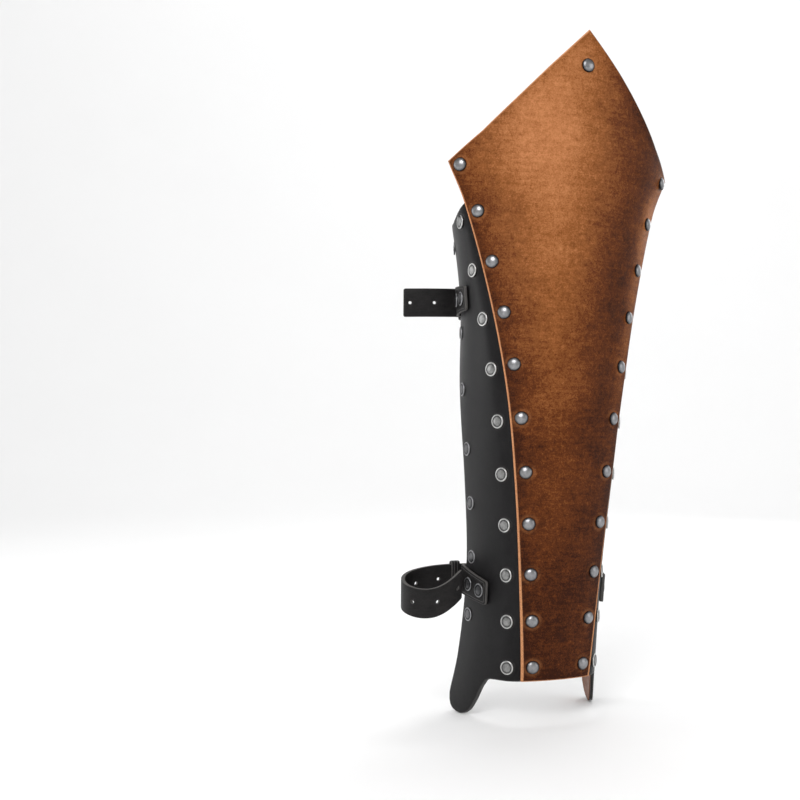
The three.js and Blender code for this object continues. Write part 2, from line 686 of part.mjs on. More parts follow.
// The frame: a horseshoe with a thin bar, drawn flat and stood up across the back
function frameGeometry(barPoint) {
  const halfHeight = FRAME_HEIGHT / 2;
  const openHalf = halfHeight - FRAME_BAND;
  const shoulder = FRAME_REACH - halfHeight;
  const heel = -BAR_THICK / 2;
  const notchHalf = openHalf - BAR_THICK / 2; // the bar runs free between these two ends
  const outline = new THREE.Shape();
  outline.moveTo(heel, -notchHalf);
  outline.lineTo(-FRAME_CHEEK, -notchHalf);
  outline.lineTo(-FRAME_CHEEK, -halfHeight);
  outline.absarc(shoulder, 0, halfHeight, -Math.PI / 2, Math.PI / 2, false);
  outline.lineTo(-FRAME_CHEEK, halfHeight);
  outline.lineTo(-FRAME_CHEEK, notchHalf);
  outline.lineTo(heel, notchHalf);
  outline.closePath();
  const opening = new THREE.Path();
  opening.moveTo(-heel, -openHalf);
  opening.lineTo(-heel, openHalf);
  opening.absarc(shoulder, 0, openHalf, Math.PI / 2, -Math.PI / 2, true);
  opening.closePath();
  outline.holes.push(opening);
  const geometry = new THREE.ExtrudeGeometry(outline, {
    depth: FRAME_THICK,
    bevelEnabled: false,
    curveSegments: FRAME_STEPS,
  });
  geometry.translate(0, 0, -FRAME_THICK / 2);
  geometry.rotateX(Math.PI / 2);
  geometry.translate(barPoint.x, barPoint.y, barPoint.z);
  return geometry;
}

// The keeper: a flat leather loop round the strap, and round the chape too where it holds both
function keeperGeometry(barPoint, keeperX, holdsChape) {
  const underChape = CHAPE_LINE - CHAPE_THICK / 2 - KEEPER_SLACK;
  const underStrap = STRAP_RESTS - STRAP_THICK / 2;
  const below = (holdsChape ? underChape : underStrap) - GAP;
  const above = STRAP_RESTS + STRAP_THICK / 2 + GAP;
  const half = STRAP_WIDTH / 2 + 2 * GAP;
  const rectangle = (path, low, high, reach) => {
    path.moveTo(low, -reach);
    path.lineTo(high, -reach);
    path.lineTo(high, reach);
    path.lineTo(low, reach);
    path.closePath();
    return path;
  };
  const outline = rectangle(
    new THREE.Shape(),
    below - KEEPER_THICK,
    above + KEEPER_THICK,
    half + KEEPER_THICK,
  );
  outline.holes.push(rectangle(new THREE.Path(), below, above, half));
  const geometry = new THREE.ExtrudeGeometry(outline, { depth: KEEPER_WIDTH, bevelEnabled: false });
  geometry.translate(0, 0, -KEEPER_WIDTH / 2);
  geometry.applyMatrix4(new THREE.Matrix4().makeBasis(
    new THREE.Vector3(0, 1, 0),
    new THREE.Vector3(0, 0, 1),
    new THREE.Vector3(1, 0, 0),
  ));
  geometry.translate(keeperX, barPoint.y, barPoint.z);
  return geometry;
}

// The chape: a tab on the wearer's right wall whose end is an eye round the buckle's bar
function chapeSolid(system, barPoint) {
  const half = STRAP_WIDTH / 2;
  const lineY = barPoint.y + CHAPE_LINE;
  const levelAt = (share) => barPoint.z - system.chapeDrop * (1 - share);
  const halfAt = (share) => half * THREE.MathUtils.lerp(CHAPE_TAPER, 1, share);
  const stations = wallStations(-1, system.chape, levelAt, halfAt, CHAPE_THICK, lineY);
  const end = { x: BAR_X, y: lineY, z: barPoint.z, half };
  const before = { x: BAR_X - EYE_OUTER, y: lineY };
  stations.push(...uprightStations([end], -1, CHAPE_THICK, before));
  const strip = toSolid(band(stations, -1));
  const eye = toSolid(eyeGeometry(barPoint, EYE_INNER, EYE_OUTER, STRAP_WIDTH));
  const slot = new THREE.BoxGeometry(4 * EYE_OUTER, 4 * EYE_OUTER, PRONG_EYE_WIDTH + 2 * GAP);
  slot.translate(barPoint.x + EYE_OUTER, barPoint.y, barPoint.z);
  const clear = new THREE.CylinderGeometry(EYE_INNER, EYE_INNER, STRAP_WIDTH * 2, EYE_SIDES);
  clear.applyMatrix4(placeAlong(barPoint, new THREE.Vector3(0, 0, 1)));
  return strip.add(eye).subtract(toSolid(clear)).subtract(toSolid(slot));
}

const SYSTEMS = [
  {
    name: "upper",
    level: UPPER_LEVEL,
    rise: 0,
    root: UPPER_ROOT,
    chape: UPPER_CHAPE,
    chapeDrop: 0,
    keeperShift: UPPER_KEEPER_SHIFT,
    holdsChape: true,
    tail: straightTail,
  },
  {
    name: "lower",
    level: LOWER_LEVEL,
    rise: LOWER_RISE,
    root: LOWER_ROOT,
    chape: LOWER_CHAPE,
    chapeDrop: LOWER_CHAPE_DROP,
    keeperShift: LOWER_KEEPER_SHIFT,
    holdsChape: false,
    tail: curledTail,
  },
];

SYSTEMS.forEach((system) => {
  const { name, level, rise } = system;
  system.crossing = crossingLine(1, level, STRAP_THICK);
  const barPoint = new THREE.Vector3(BAR_X, system.crossing.y - STRAP_UNDER, level + rise);
  const keeperX = crossingLine(-1, barPoint.z, CHAPE_THICK).x + system.keeperShift;

  const half = STRAP_WIDTH / 2;
  const wallPart = wallStations(1, system.root, () => level, () => half, STRAP_THICK, system.crossing.y);
  const plan = strapPlan(system, barPoint, keeperX);
  const strapBand = band([...wallPart, ...uprightStations(plan, 1, STRAP_THICK, system.crossing)], 1);
  const rootTools = [0, 1].map((k) => {
    const place = onLeather(1, system.root + ROOT_MARGIN + ROOT_PITCH * k, level, 0);
    addRivet(`rivet_${name}_strap_${k + 1}`, place, strapBand, linerWall);
    panelHole("left", place);
    linerHole(place);
    return holeTool(place);
  });
  const punches = [];
  for (let at = END_MARGIN; at < planLength(plan); at += HOLE_PITCH) {
    punches.push(punchTool(alongFromEnd(plan, at)));
  }
  const prongRoom = toSolid(prongGeometry(barPoint, GAP));
  addMesh(`${name}_strap`, cut(strapBand, [...rootTools, ...punches, prongRoom]), leatherBlack);

  const chapeGeometry = toGeometry(chapeSolid(system, barPoint));
  const chapeTools = [0, 1].map((k) => {
    const reach = system.chape + CHAPE_MARGIN + CHAPE_PITCH * k;
    const share = (reach - system.chape) / (wrapReach(level) - system.chape);
    const place = onLeather(-1, reach, barPoint.z - system.chapeDrop * (1 - share), 0);
    addRivet(`rivet_${name}_chape_${k + 1}`, place, chapeGeometry, linerWall);
    panelHole("right", place);
    linerHole(place);
    return holeTool(place);
  });
  addMesh(`${name}_chape`, cut(chapeGeometry, chapeTools), leatherBlack);

  addMesh(`${name}_buckle_frame`, frameGeometry(barPoint), antiqueSilver);
  const tongue = toSolid(prongGeometry(barPoint, 0));
  const prongEye = toSolid(eyeGeometry(barPoint, EYE_INNER, PRONG_EYE_OUTER, PRONG_EYE_WIDTH));
  addMesh(`${name}_buckle_prong`, toGeometry(tongue.add(prongEye)), antiqueSilver);
  addMesh(`${name}_keeper`, keeperGeometry(barPoint, keeperX, system.holdsChape), leatherBlack);
});

// The leather walls. The row of rivets beside the plate is joined to them: the caps to the side
// panels and the backs to the liner.
function capOn(place, wall) {
  const level = faceLevel(wall, place, CAP_RADIUS, true);
  return toSolid(turned([
    [0, level - PANEL_THICK / 2],
    [CAP_RADIUS, level - PANEL_THICK / 2],
    ...capProfile(level),
  ], place));
}

function backOn(place) {
  const level = faceLevel(linerWall, place, BACK_RADIUS, false);
  return toSolid(turned([
    ...backProfile(level),
    [BACK_RADIUS, level + LINER_THICK / 2],
    [0, level + LINER_THICK / 2],
  ], place));
}

addMesh("front_plate", cut(plateWall, plateHoles), leatherBrown);
const joined = (wall, solids) => toGeometry(solids.reduce((all, solid) => all.add(solid), toSolid(wall)));
const backs = [...besidePlaces.left, ...besidePlaces.right].map(backOn);
addMesh("liner", cut(joined(linerWall, backs), linerHoles), leatherGrained);
SIDES.forEach(({ name }) => {
  const wall = panelWalls[name];
  const caps = besidePlaces[name].map((place) => capOn(place, wall));
  addMesh(`side_panel_${name}`, cut(joined(wall, caps), panelHoles[name]), leatherBlack);
});

export default greave;
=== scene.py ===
import math

import bpy
import numpy as np
from bpy.props import FloatProperty, FloatVectorProperty, PointerProperty
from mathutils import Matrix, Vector
from mathutils.geometry import delaunay_2d_cdt


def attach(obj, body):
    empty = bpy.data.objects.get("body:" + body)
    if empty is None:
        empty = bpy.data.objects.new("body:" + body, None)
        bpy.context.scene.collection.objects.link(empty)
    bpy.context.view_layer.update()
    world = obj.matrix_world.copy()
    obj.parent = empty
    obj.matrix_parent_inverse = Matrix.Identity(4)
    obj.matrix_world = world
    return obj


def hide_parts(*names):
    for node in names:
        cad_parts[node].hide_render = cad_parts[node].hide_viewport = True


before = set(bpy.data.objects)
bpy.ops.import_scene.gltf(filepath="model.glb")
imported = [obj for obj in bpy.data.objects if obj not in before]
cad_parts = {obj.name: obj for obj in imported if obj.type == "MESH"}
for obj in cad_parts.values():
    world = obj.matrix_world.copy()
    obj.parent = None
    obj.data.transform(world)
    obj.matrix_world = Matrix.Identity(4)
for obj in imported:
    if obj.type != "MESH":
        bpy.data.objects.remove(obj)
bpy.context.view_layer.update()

bl_info = {
    "name": "Leather Greave",
    "version": (1, 0, 0),
    "blender": (4, 5, 0),
    "location": "View3D > Sidebar > Greave",
    "description": "Dresses a packed leather greave with detailed leather, rivets, straps and buckles",
    "category": "Object",
}

BODY = "root"
MM = 0.001

# Sizes of the leather, in millimetres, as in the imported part
HEIGHT = 450.0
SHIN_DEPTH = 45.0
KNEE_HALF = 86.6
WRAP = 123.0
PLATE_THICK = 3.0
PANEL_THICK = 1.4
LINER_THICK = 1.3
GAP = 0.35
LIFT = 0.6
STRAP_WIDTH = 19.5
STRAP_THICK = 2.6
CHAPE_THICK = 2.2
CORNER_RADIUS = 5.5
HOLE_PITCH = 16.6
END_MARGIN = 4.5
ROOT_MARGIN = 11.0
CHAPE_MARGIN = 7.0
ROOT_PITCH = 20.5
CHAPE_PITCH = 13.0
PLATE_MARGIN = 7.5
BACK_MARGIN = 8.5
ROW_PITCH = 16.5
BAR_X = -30.0
FRAME_THICK = 2.6
FRAME_BAND = 6.0
FRAME_REACH = 31.0
FRAME_HEIGHT = 35.0
PRONG_THICK = 2.2
PRONG_WIDTH = 3.6
PRONG_EYE_OUTER = 3.4
PRONG_EYE_INNER = 1.35
BAR_RADIUS = 1.2
PRONG_EYE_WIDTH = 5.0
EYE_INNER = 2.2
KEEPER_WIDTH = 6.0
KEEPER_THICK = 1.4
LOOP_RADIUS = 15.5
LOOP_STRAIGHT = 22.0
LOOP_RETURN = 20.0
LOOP_DROP = 12.0
LOOP_OPENING = 2.0
UPPER_TAIL = 38.0

EYE_OUTER = EYE_INNER + CHAPE_THICK
PLATE_OUTER = GAP + PLATE_THICK
LINER_OUTER = -PANEL_THICK - GAP
LINER_INNER = LINER_OUTER - LINER_THICK
STRAP_UNDER = -(FRAME_THICK / 2 + GAP + STRAP_THICK / 2)
STRAP_OVER = EYE_OUTER + GAP + STRAP_THICK / 2
CHAPE_LINE = -(EYE_INNER + EYE_OUTER) / 2
STRAP_RESTS = CHAPE_LINE + CHAPE_THICK / 2 + GAP + STRAP_THICK / 2
PRONG_RESTS = FRAME_THICK / 2 + GAP + PRONG_THICK / 2

# The leg's shape by height: height, shin, plate and wrap as shares of the sizes above, and the way
# the leather faces at the plate's edge, the side and the back edge, in degrees round from the shin
SECTION_KEYS = ("height", "shin", "plate", "wrap", "edge_turn", "side_turn", "back_turn")
SECTIONS = np.array([
    (0.000, 0.000, 0.270, 0.732, 11, 54, 80),
    (0.089, 0.169, 0.293, 0.698, 18, 59, 85),
    (0.222, 0.344, 0.344, 0.680, 27, 64, 87),
    (0.356, 0.487, 0.410, 0.711, 30, 62, 90),
    (0.489, 0.604, 0.501, 0.814, 34, 67, 99),
    (0.622, 0.671, 0.648, 0.920, 40, 80, 114),
    (0.756, 0.747, 0.860, 1.000, 45, 91, 120),
    (0.813, 0.813, 1.000, 1.020, 45, 96, 122),
    (1.000, 1.000, 1.440, 1.040, 35, 102, 124),
])
SIDE_SHARE = 0.2

# Outlines across the leather: place across is 0 at the shin line, 1 at the plate's edge and 2 at
# the back edge, and height is a share of HEIGHT
LINER_TOP = [
    (0, 0.967), (0.04, 0.9665), (0.08, 0.957), (0.2, 0.909), (0.3, 0.872), (0.4, 0.845),
    (0.52, 0.822), (0.7, 0.797), (0.85, 0.775), (1, 0.758), (1.17, 0.747), (1.34, 0.74),
    (1.5, 0.735), (1.7, 0.7335), (1.76, 0.7305), (1.88, 0.717), (1.97, 0.706), (2, 0.699),
]
TAB_OUTLINE = [
    (1.30, 0.061), (1.38, 0.0605), (1.43, 0.057), (1.48, 0.046), (1.53, 0.028), (1.57, 0.016),
    (1.61, 0.0075), (1.66, 0.002), (1.73, 0), (1.80, 0.001), (1.87, 0.004), (1.92, 0.009),
    (1.96, 0.016), (1.99, 0.026), (2, 0.036),
]
PLATE_BOTTOM = 0.062
PLATE_CORNER = 0.8133
PLATE_SHOULDER = [(0.747, 0.8542), (0.514, 0.8995), (0.274, 0.9475)]
PANEL_FRONT = 0.42

PLATE_ROW = [0.808, 0.7435, 0.672, 0.6, 0.526, 0.449, 0.371, 0.296, 0.222, 0.153, 0.084]
BACK_ROW = [0.703, 0.576, 0.491, 0.402, 0.321, 0.239, 0.151]
PEAK_RIVET = 0.95

SYSTEMS = {
    "upper": dict(level=HEIGHT * 0.624, rise=0.0, root=76.0, chape=79.5, drop=0.0, shift=1.5, both=True),
    "lower": dict(
        level=HEIGHT * 0.19, rise=HEIGHT * 0.013, root=45.0, chape=54.0, drop=6.5, shift=-8.5, both=False,
    ),
}
CHAPE_TAPER = 0.82
PRONG_CROSSES = 12.5
BACK_LINE = 30
STRAP_SLOT = (4.5, 2.5)
SLOT_CLEAR = 7
CHAPE_SLOT = 14.5
LINER_STEP = 2.8 * MM
STRAP_STEP = 1.9 * MM
CHAPE_STEP = 1.7 * MM

# The camera, in pixels of the picture for its focus and centre, and in metres and degrees
PICTURE = 800
CAMERA_FOCUS = 1260.5
CAMERA_ACROSS = 554.46
CAMERA_DOWN = 413.79
CAMERA_HEIGHT = 0.205
CAMERA_AWAY = 0.846
CAMERA_TURN = -25.13
CAMERA_ROLL = -0.51

# The floor, a round bowl, in metres
BOWL_FLAT = 1.8
BOWL_CURVE = 1.4
FLOOR_DROP = 0.0004


# Where things lie
def section(level):
    """The section's values at each height, on a cubic through the table's rows."""
    heights = SECTIONS[:, 0]
    slopes = np.gradient(SECTIONS, axis=0)
    slopes[1:-1] = (SECTIONS[2:] - SECTIONS[:-2]) / (heights[2:] - heights[:-2])[:, None]
    slopes[0] = (SECTIONS[1] - SECTIONS[0]) / (heights[1] - heights[0])
    slopes[-1] = (SECTIONS[-1] - SECTIONS[-2]) / (heights[-1] - heights[-2])
    at = np.clip(np.asarray(level, float) / HEIGHT, 0, 1)
    i = np.clip(np.searchsorted(heights, at, side="right") - 1, 0, len(heights) - 2)
    step = (heights[i + 1] - heights[i])[..., None]
    t = ((at - heights[i])[..., None]) / step
    rise = SECTIONS[i + 1] - SECTIONS[i]
    into, out = slopes[i] * step, slopes[i + 1] * step
    value = SECTIONS[i] + t * into + t**2 * (3 * rise - 2 * into - out) + t**3 * (into + out - 2 * rise)
    return {key: value[..., k] for k, key in enumerate(SECTION_KEYS)}


def plate_half(level):
    """How far the plate's edge is from the shin line."""
    return np.minimum(KNEE_HALF * section(level)["plate"], KNEE_HALF)


def wrap_reach(level):
    """How far the wall's back edge is from the shin line."""
    return WRAP * section(level)["wrap"]


def reach_at(across, level):
    """The distance from the shin line at a place across."""
    half, wrap = plate_half(level), wrap_reach(level)
    across = np.asarray(across, float)
    return np.where(across <= 1, across * half, half + (across - 1) * (wrap - half))


def on_wall(across, level, lift):
    """Points and normals on the leather: across is the signed distance from the shin line."""
    across, level, lift = np.broadcast_arrays(*(np.asarray(v, float) for v in (across, level, lift)))
    side, reach = np.where(across < 0, -1.0, 1.0), np.abs(across)
    row = section(level)
    half = np.minimum(KNEE_HALF * row["plate"], KNEE_HALF)
    wrap = WRAP * row["wrap"]
    x, y = np.zeros_like(reach), -SHIN_DEPTH * row["shin"]
    turn, start = np.zeros_like(reach), np.zeros_like(reach)
    ends = (half, half + SIDE_SHARE * (wrap - half), wrap, wrap + 1e6)
    angles = (row["edge_turn"], row["side_turn"], row["back_turn"], row["back_turn"])
    previous = np.zeros_like(reach)
    for end, degrees in zip(ends, angles):
        angle = np.radians(degrees)
        run = np.clip(np.minimum(reach, end) - start, 0, None)
        bend = (angle - previous) * run / (end - start)
        chord = run * np.sinc(bend / 2 / np.pi)
        x = x + chord * np.cos(turn + bend / 2)
        y = y + chord * np.sin(turn + bend / 2)
        turn = turn + bend
        start, previous = end, angle
    normal = np.stack([side * np.sin(turn), -np.cos(turn), np.zeros_like(turn)], -1)
    point = np.stack([side * x, y, level], -1) + normal * lift[..., None]
    return point, normal


def edge_direction(across, level):
    """Which way the leather runs at a place, in radians round from the shin."""
    _, normal = on_wall(across, level, 0)
    return math.atan2(abs(normal[0]), -normal[1])


def wall_place(points, lift):
    """Lays flat points on the leather."""
    return on_wall(points[:, 0], points[:, 1], lift)[0]


# Flat patterns
def spread(points, step):
    """A closed outline with points no further apart than a step."""
    points = np.asarray(points, float)
    made = []
    for a, b in zip(points, np.roll(points, -1, axis=0)):
        count = max(1, math.ceil(np.linalg.norm(b - a) / step))
        made += [a + (b - a) * k / count for k in range(count)]
    return np.array(made)


def outward(points):
    """The outward direction at each point of a closed outline that runs counterclockwise."""
    before, after = points - np.roll(points, 1, axis=0), np.roll(points, -1, axis=0) - points
    before /= np.linalg.norm(before, axis=1)[:, None]
    after /= np.linalg.norm(after, axis=1)[:, None]
    normal = np.stack([before[:, 1] + after[:, 1], -before[:, 0] - after[:, 0]], -1)
    normal /= np.linalg.norm(normal, axis=1)[:, None] + 1e-12
    facing = normal[:, 0] * after[:, 1] - normal[:, 1] * after[:, 0]
    return normal / np.clip(facing, 0.6, 1)[:, None]


def inside(points, outline):
    """Which points lie within a closed outline."""
    x, y = points[:, 0:1], points[:, 1:2]
    a, b = outline, np.roll(outline, -1, axis=0)
    crosses = (a[:, 1] > y) != (b[:, 1] > y)
    span = np.where(np.abs(b[:, 1] - a[:, 1]) < 1e-12, 1e-12, b[:, 1] - a[:, 1])
    at = a[:, 0] + (y - a[:, 1]) / span * (b[:, 0] - a[:, 0])
    return (crosses & (x < at)).sum(1) % 2 == 1


def distance_to(points, outlines):
    """Distance from each point to the nearest outline."""
    best = np.full(len(points), 1e9)
    for outline in outlines:
        a, run = outline, np.roll(outline, -1, axis=0) - outline
        length = (run**2).sum(1) + 1e-12
        for k in range(0, len(points), 2000):
            p = points[k:k + 2000, None, :]
            t = np.clip(((p - a) * run).sum(2) / length, 0, 1)
            gap = np.sqrt(((p - a - run * t[..., None]) ** 2).sum(2)).min(1)
            best[k:k + 2000] = np.minimum(best[k:k + 2000], gap)
    return best


def circle(centre, radius, count=18):
    """A hole's outline, which runs clockwise so that the leather is on its left."""
    angles = -np.linspace(0, 2 * np.pi, count, endpoint=False)
    return np.stack([centre[0] + radius * np.cos(angles), centre[1] + radius * np.sin(angles)], -1)


def rounded_corners(points, radius, steps=4):
    """A polygon whose corners are cut to short curves."""
    points = np.asarray(points, float)
    made = []
    for a, b, c in zip(np.roll(points, 1, axis=0), points, np.roll(points, -1, axis=0)):
        reach = min(radius, 0.45 * np.linalg.norm(a - b), 0.45 * np.linalg.norm(c - b))
        start = b + (a - b) / np.linalg.norm(a - b) * reach
        end = b + (c - b) / np.linalg.norm(c - b) * reach
        for k in range(steps + 1):
            t = k / steps
            made.append((1 - t) ** 2 * start + 2 * t * (1 - t) * b + t**2 * end)
    return np.array(made)


def slot_outline(start, end, half, radius):
    """A long hole along a band, which runs clockwise as every hole does."""
    return rounded_corners([(start, half), (end, half), (end, -half), (start, -half)], radius)


# Meshes
def make_piece(name, points, faces, material, replaced, values=None):
    """A smooth mesh of points in millimetres that rides on the part and stands for its nodes."""
    mesh = bpy.data.meshes.new(name)
    mesh.from_pydata((np.asarray(points) * MM).tolist(), [], [tuple(map(int, f)) for f in faces])
    mesh.polygons.foreach_set("use_smooth", [True] * len(mesh.polygons))
    for key, numbers in (values or {}).items():
        made = mesh.attributes.new(key, "FLOAT", "POINT")
        made.data.foreach_set("value", np.asarray(numbers, np.float32))
    mesh.update()
    mesh.materials.append(material)
    piece = bpy.data.objects.new(name, mesh)
    bpy.context.scene.collection.objects.link(piece)
    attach(piece, BODY)
    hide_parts(*replaced)
    return piece


def leather_sheet(outline, holes, spacing, place, lift, thick, soft_edge, studs=()):
    """Points, faces and values of a sheet cut to a flat outline, laid in place, with eased edges.

    place turns flat points and their lift off the surface into space. The values are each point's
    distance from the cut edge and from the nearest stud, and which face it is on."""
    loops = [np.asarray(outline, float), *holes]
    directions = [outward(loop) for loop in loops]
    inner_loops = [loop - way * soft_edge for loop, way in zip(loops, directions)]
    low, high = inner_loops[0].min(0), inner_loops[0].max(0)
    grid = np.stack(np.meshgrid(
        np.arange(low[0] + spacing / 2, high[0], spacing),
        np.arange(low[1] + spacing / 2, high[1], spacing),
    ), -1).reshape(-1, 2)
    grid = grid[inside(grid, inner_loops[0])]
    for hole in inner_loops[1:]:
        grid = grid[~inside(grid, hole)]
    grid = grid[distance_to(grid, inner_loops) > spacing * 0.45]
    flat = np.concatenate([*inner_loops, grid])
    edges, starts, first = [], [], 0
    for loop in inner_loops:
        starts.append(first)
        edges += [(first + k, first + (k + 1) % len(loop)) for k in range(len(loop))]
        first += len(loop)
    found, _, triangles, origins, _, _ = delaunay_2d_cdt([Vector(p) for p in flat], edges, [], 1, 1e-5)
    index = {source: k for k, sources in enumerate(origins) for source in sources}
    flat = np.array([tuple(p) for p in found])
    triangles = np.array([t for t in triangles if len(t) == 3])
    middles = flat[triangles].mean(1)
    keep = inside(middles, inner_loops[0])
    for hole in inner_loops[1:]:
        keep &= ~inside(middles, hole)
    triangles = triangles[keep]
    a, b, c = (flat[triangles[:, k]] for k in range(3))
    turned = (b[:, 0] - a[:, 0]) * (c[:, 1] - a[:, 1]) - (b[:, 1] - a[:, 1]) * (c[:, 0] - a[:, 0]) < 0
    triangles[turned] = triangles[turned][:, ::-1]

    count = len(flat)
    middle = lift + thick / 2
    spots = [flat, flat]
    lifts = [np.full(count, lift + thick), np.full(count, lift)]
    sides = [np.ones(count), np.zeros(count)]
    from_edge = distance_to(flat, loops)
    gaps = [from_edge, from_edge]
    faces = [tuple(t) for t in triangles] + [tuple(t[::-1] + count) for t in triangles]
    first = 2 * count
    bends = np.radians([66, 40, 0, -40, -66])
    for loop, way, ring, start in zip(loops, directions, inner_loops, starts):
        size = len(ring)
        top = [index[start + k] for k in range(size)]
        layers = [top]
        for bend in bends:
            out = math.cos(bend) ** 0.7 * soft_edge
            up = math.copysign(abs(math.sin(bend)) ** 0.8, bend) * thick / 2
            spots.append(ring + way * out)
            lifts.append(np.full(size, middle + up))
            sides.append(np.full(size, 0.5 + 0.5 * up / (thick / 2)))
            gaps.append(np.full(size, soft_edge - out))
            layers.append(list(range(first, first + size)))
            first += size
        layers.append([k + count for k in top])
        for upper, lower in zip(layers, layers[1:]):
            for k in range(size):
                n = (k + 1) % size
                faces.append((upper[n], upper[k], lower[k], lower[n]))
    spots, lifts = np.concatenate(spots), np.concatenate(lifts)
    values = {"edge_mm": np.concatenate(gaps), "outer_face": np.concatenate(sides)}
    if len(studs):
        near = np.full(len(spots), 1e9)
        for stud in studs:
            near = np.minimum(near, np.linalg.norm(spots - np.asarray(stud), axis=1))
        values["stud_mm"] = near
    else:
        values["stud_mm"] = np.full(len(spots), 99.0)
    return place(spots, lifts), faces, values


def turned_shapes(profile, places, sides=28):
    """Copies of a turned profile of (radius, level) pairs, one at each (point, normal)."""
    profile = np.asarray(profile, float)
    rings = len(profile)
    angles = np.linspace(0, 2 * np.pi, sides, endpoint=False)
    points, faces, radii = [], [], []
    for point, normal in places:
        level_way = np.array([-normal[1], normal[0], 0.0])
        level_way /= np.linalg.norm(level_way)
        up_way = np.cross(normal, level_way)
        first = len(points) * rings * sides
        around = np.cos(angles)[:, None] * level_way + np.sin(angles)[:, None] * up_way
        shape = point + profile[:, 1][:, None, None] * normal + profile[:, 0][:, None, None] * around
        points.append(shape.reshape(-1, 3))
        radii.append(np.repeat(profile[:, 0], sides))
        for r in range(rings - 1):
            for k in range(sides):
                n = (k + 1) % sides
                faces.append((
                    first + r * sides + k, first + r * sides + n,
                    first + (r + 1) * sides + n, first + (r + 1) * sides + k,
                ))
        faces.append(tuple(first + (rings - 1) * sides + k for k in range(sides)))
        faces.append(tuple(first + k for k in range(sides))[::-1])
    return np.concatenate(points), faces, np.concatenate(radii)


def joined(parts):
    """One mesh of several lists of points, faces and values."""
    points, faces, values, first = [], [], {}, 0
    for part_points, part_faces, part_values in parts:
        points.append(part_points)
        faces += [tuple(k + first for k in face) for face in part_faces]
        for key, numbers in part_values.items():
            values.setdefault(key, []).append(numbers)
        first += len(part_points)
    return np.concatenate(points), faces, {key: np.concatenate(v) for key, v in values.items()}


def sweep(centres, outs, ups, profile, closed=False):
    """A solid band: the profile's (out, up) pairs carried along the centres, scaled by each station."""
    stations, size = len(centres), len(profile)
    points = []
    for k in range(stations):
        shape = profile[k] if np.ndim(profile) == 3 else profile
        points += [centres[k] + outs[k] * a + ups[k] * b for a, b in shape]
        size = len(shape)
    faces = []
    last = stations if closed else stations - 1
    for k in range(last):
        m = (k + 1) % stations
        for j in range(size):
            n = (j + 1) % size
            faces.append((k * size + j, k * size + n, m * size + n, m * size + j))
    if not closed:
        faces.append(tuple(range(size))[::-1])
        faces.append(tuple((stations - 1) * size + j for j in range(size)))
    return np.array(points), faces


def smooth_line(knots, count):
    """A smooth line of evenly numbered points through the knots, and how far along each one is."""
    knots = np.asarray(knots, float)
    flat = knots.reshape(len(knots), -1)
    t = np.concatenate([[0], np.cumsum(np.linalg.norm(np.diff(flat[:, :3], axis=0), axis=1) ** 0.8)])
    slopes = np.gradient(flat, t, axis=0)
    at = np.linspace(0, t[-1], count)
    i = np.clip(np.searchsorted(t, at, side="right") - 1, 0, len(t) - 2)
    step = (t[i + 1] - t[i])[:, None]
    u = (at - t[i])[:, None] / step
    line = (
        (2 * u**3 - 3 * u**2 + 1) * flat[i] + (u**3 - 2 * u**2 + u) * step * slopes[i]
        + (3 * u**2 - 2 * u**3) * flat[i + 1] + (u**3 - u**2) * step * slopes[i + 1]
    )
    return line.reshape(count, *knots.shape[1:])


# Straps
def crossing(side, level, thick):
    """Where a band straight across the back lies when it leaves a wall round its corner."""
    reach = float(wrap_reach(level))
    point, _ = on_wall(side * reach, level, LIFT + thick / 2)
    turn = edge_direction(side * reach, level)
    return (
        point[0] - side * CORNER_RADIUS * math.sin(turn),
        point[1] + CORNER_RADIUS * (1 + math.cos(turn)),
    )


def wall_rails(side, start, level_at, half_at, thick, line_y):
    """Knots of a band's three rails (low, middle, high) along a wall and round its back edge."""
    rails = []
    for end in (-1, 0, 1):
        rail = []
        for share in np.linspace(0, 1, 9):
            level = level_at(share) + end * half_at(share)
            reach = start + (float(wrap_reach(level)) - start) * share
            rail.append(on_wall(side * reach, level, LIFT + thick / 2)[0])
        turn = edge_direction(side * float(wrap_reach(level)), level)
        last = rail[-1]
        radius = (line_y - last[1]) / (1 + math.cos(turn))
        for share in np.linspace(0, 1, 7)[1:]:
            angle = turn + (math.pi - turn) * share
            rail.append(np.array([
                last[0] + side * radius * (math.sin(angle) - math.sin(turn)),
                last[1] + radius * (math.cos(turn) - math.cos(angle)),
                last[2],
            ]))
        rails.append(rail)
    return [np.array(knot) for knot in zip(*rails)]


def upright_rails(plan):
    """Knots of a band that stands upright, from (x, y, z, half width)."""
    return [np.array([[x, y, z - half], [x, y, z], [x, y, z + half]]) for x, y, z, half in plan]


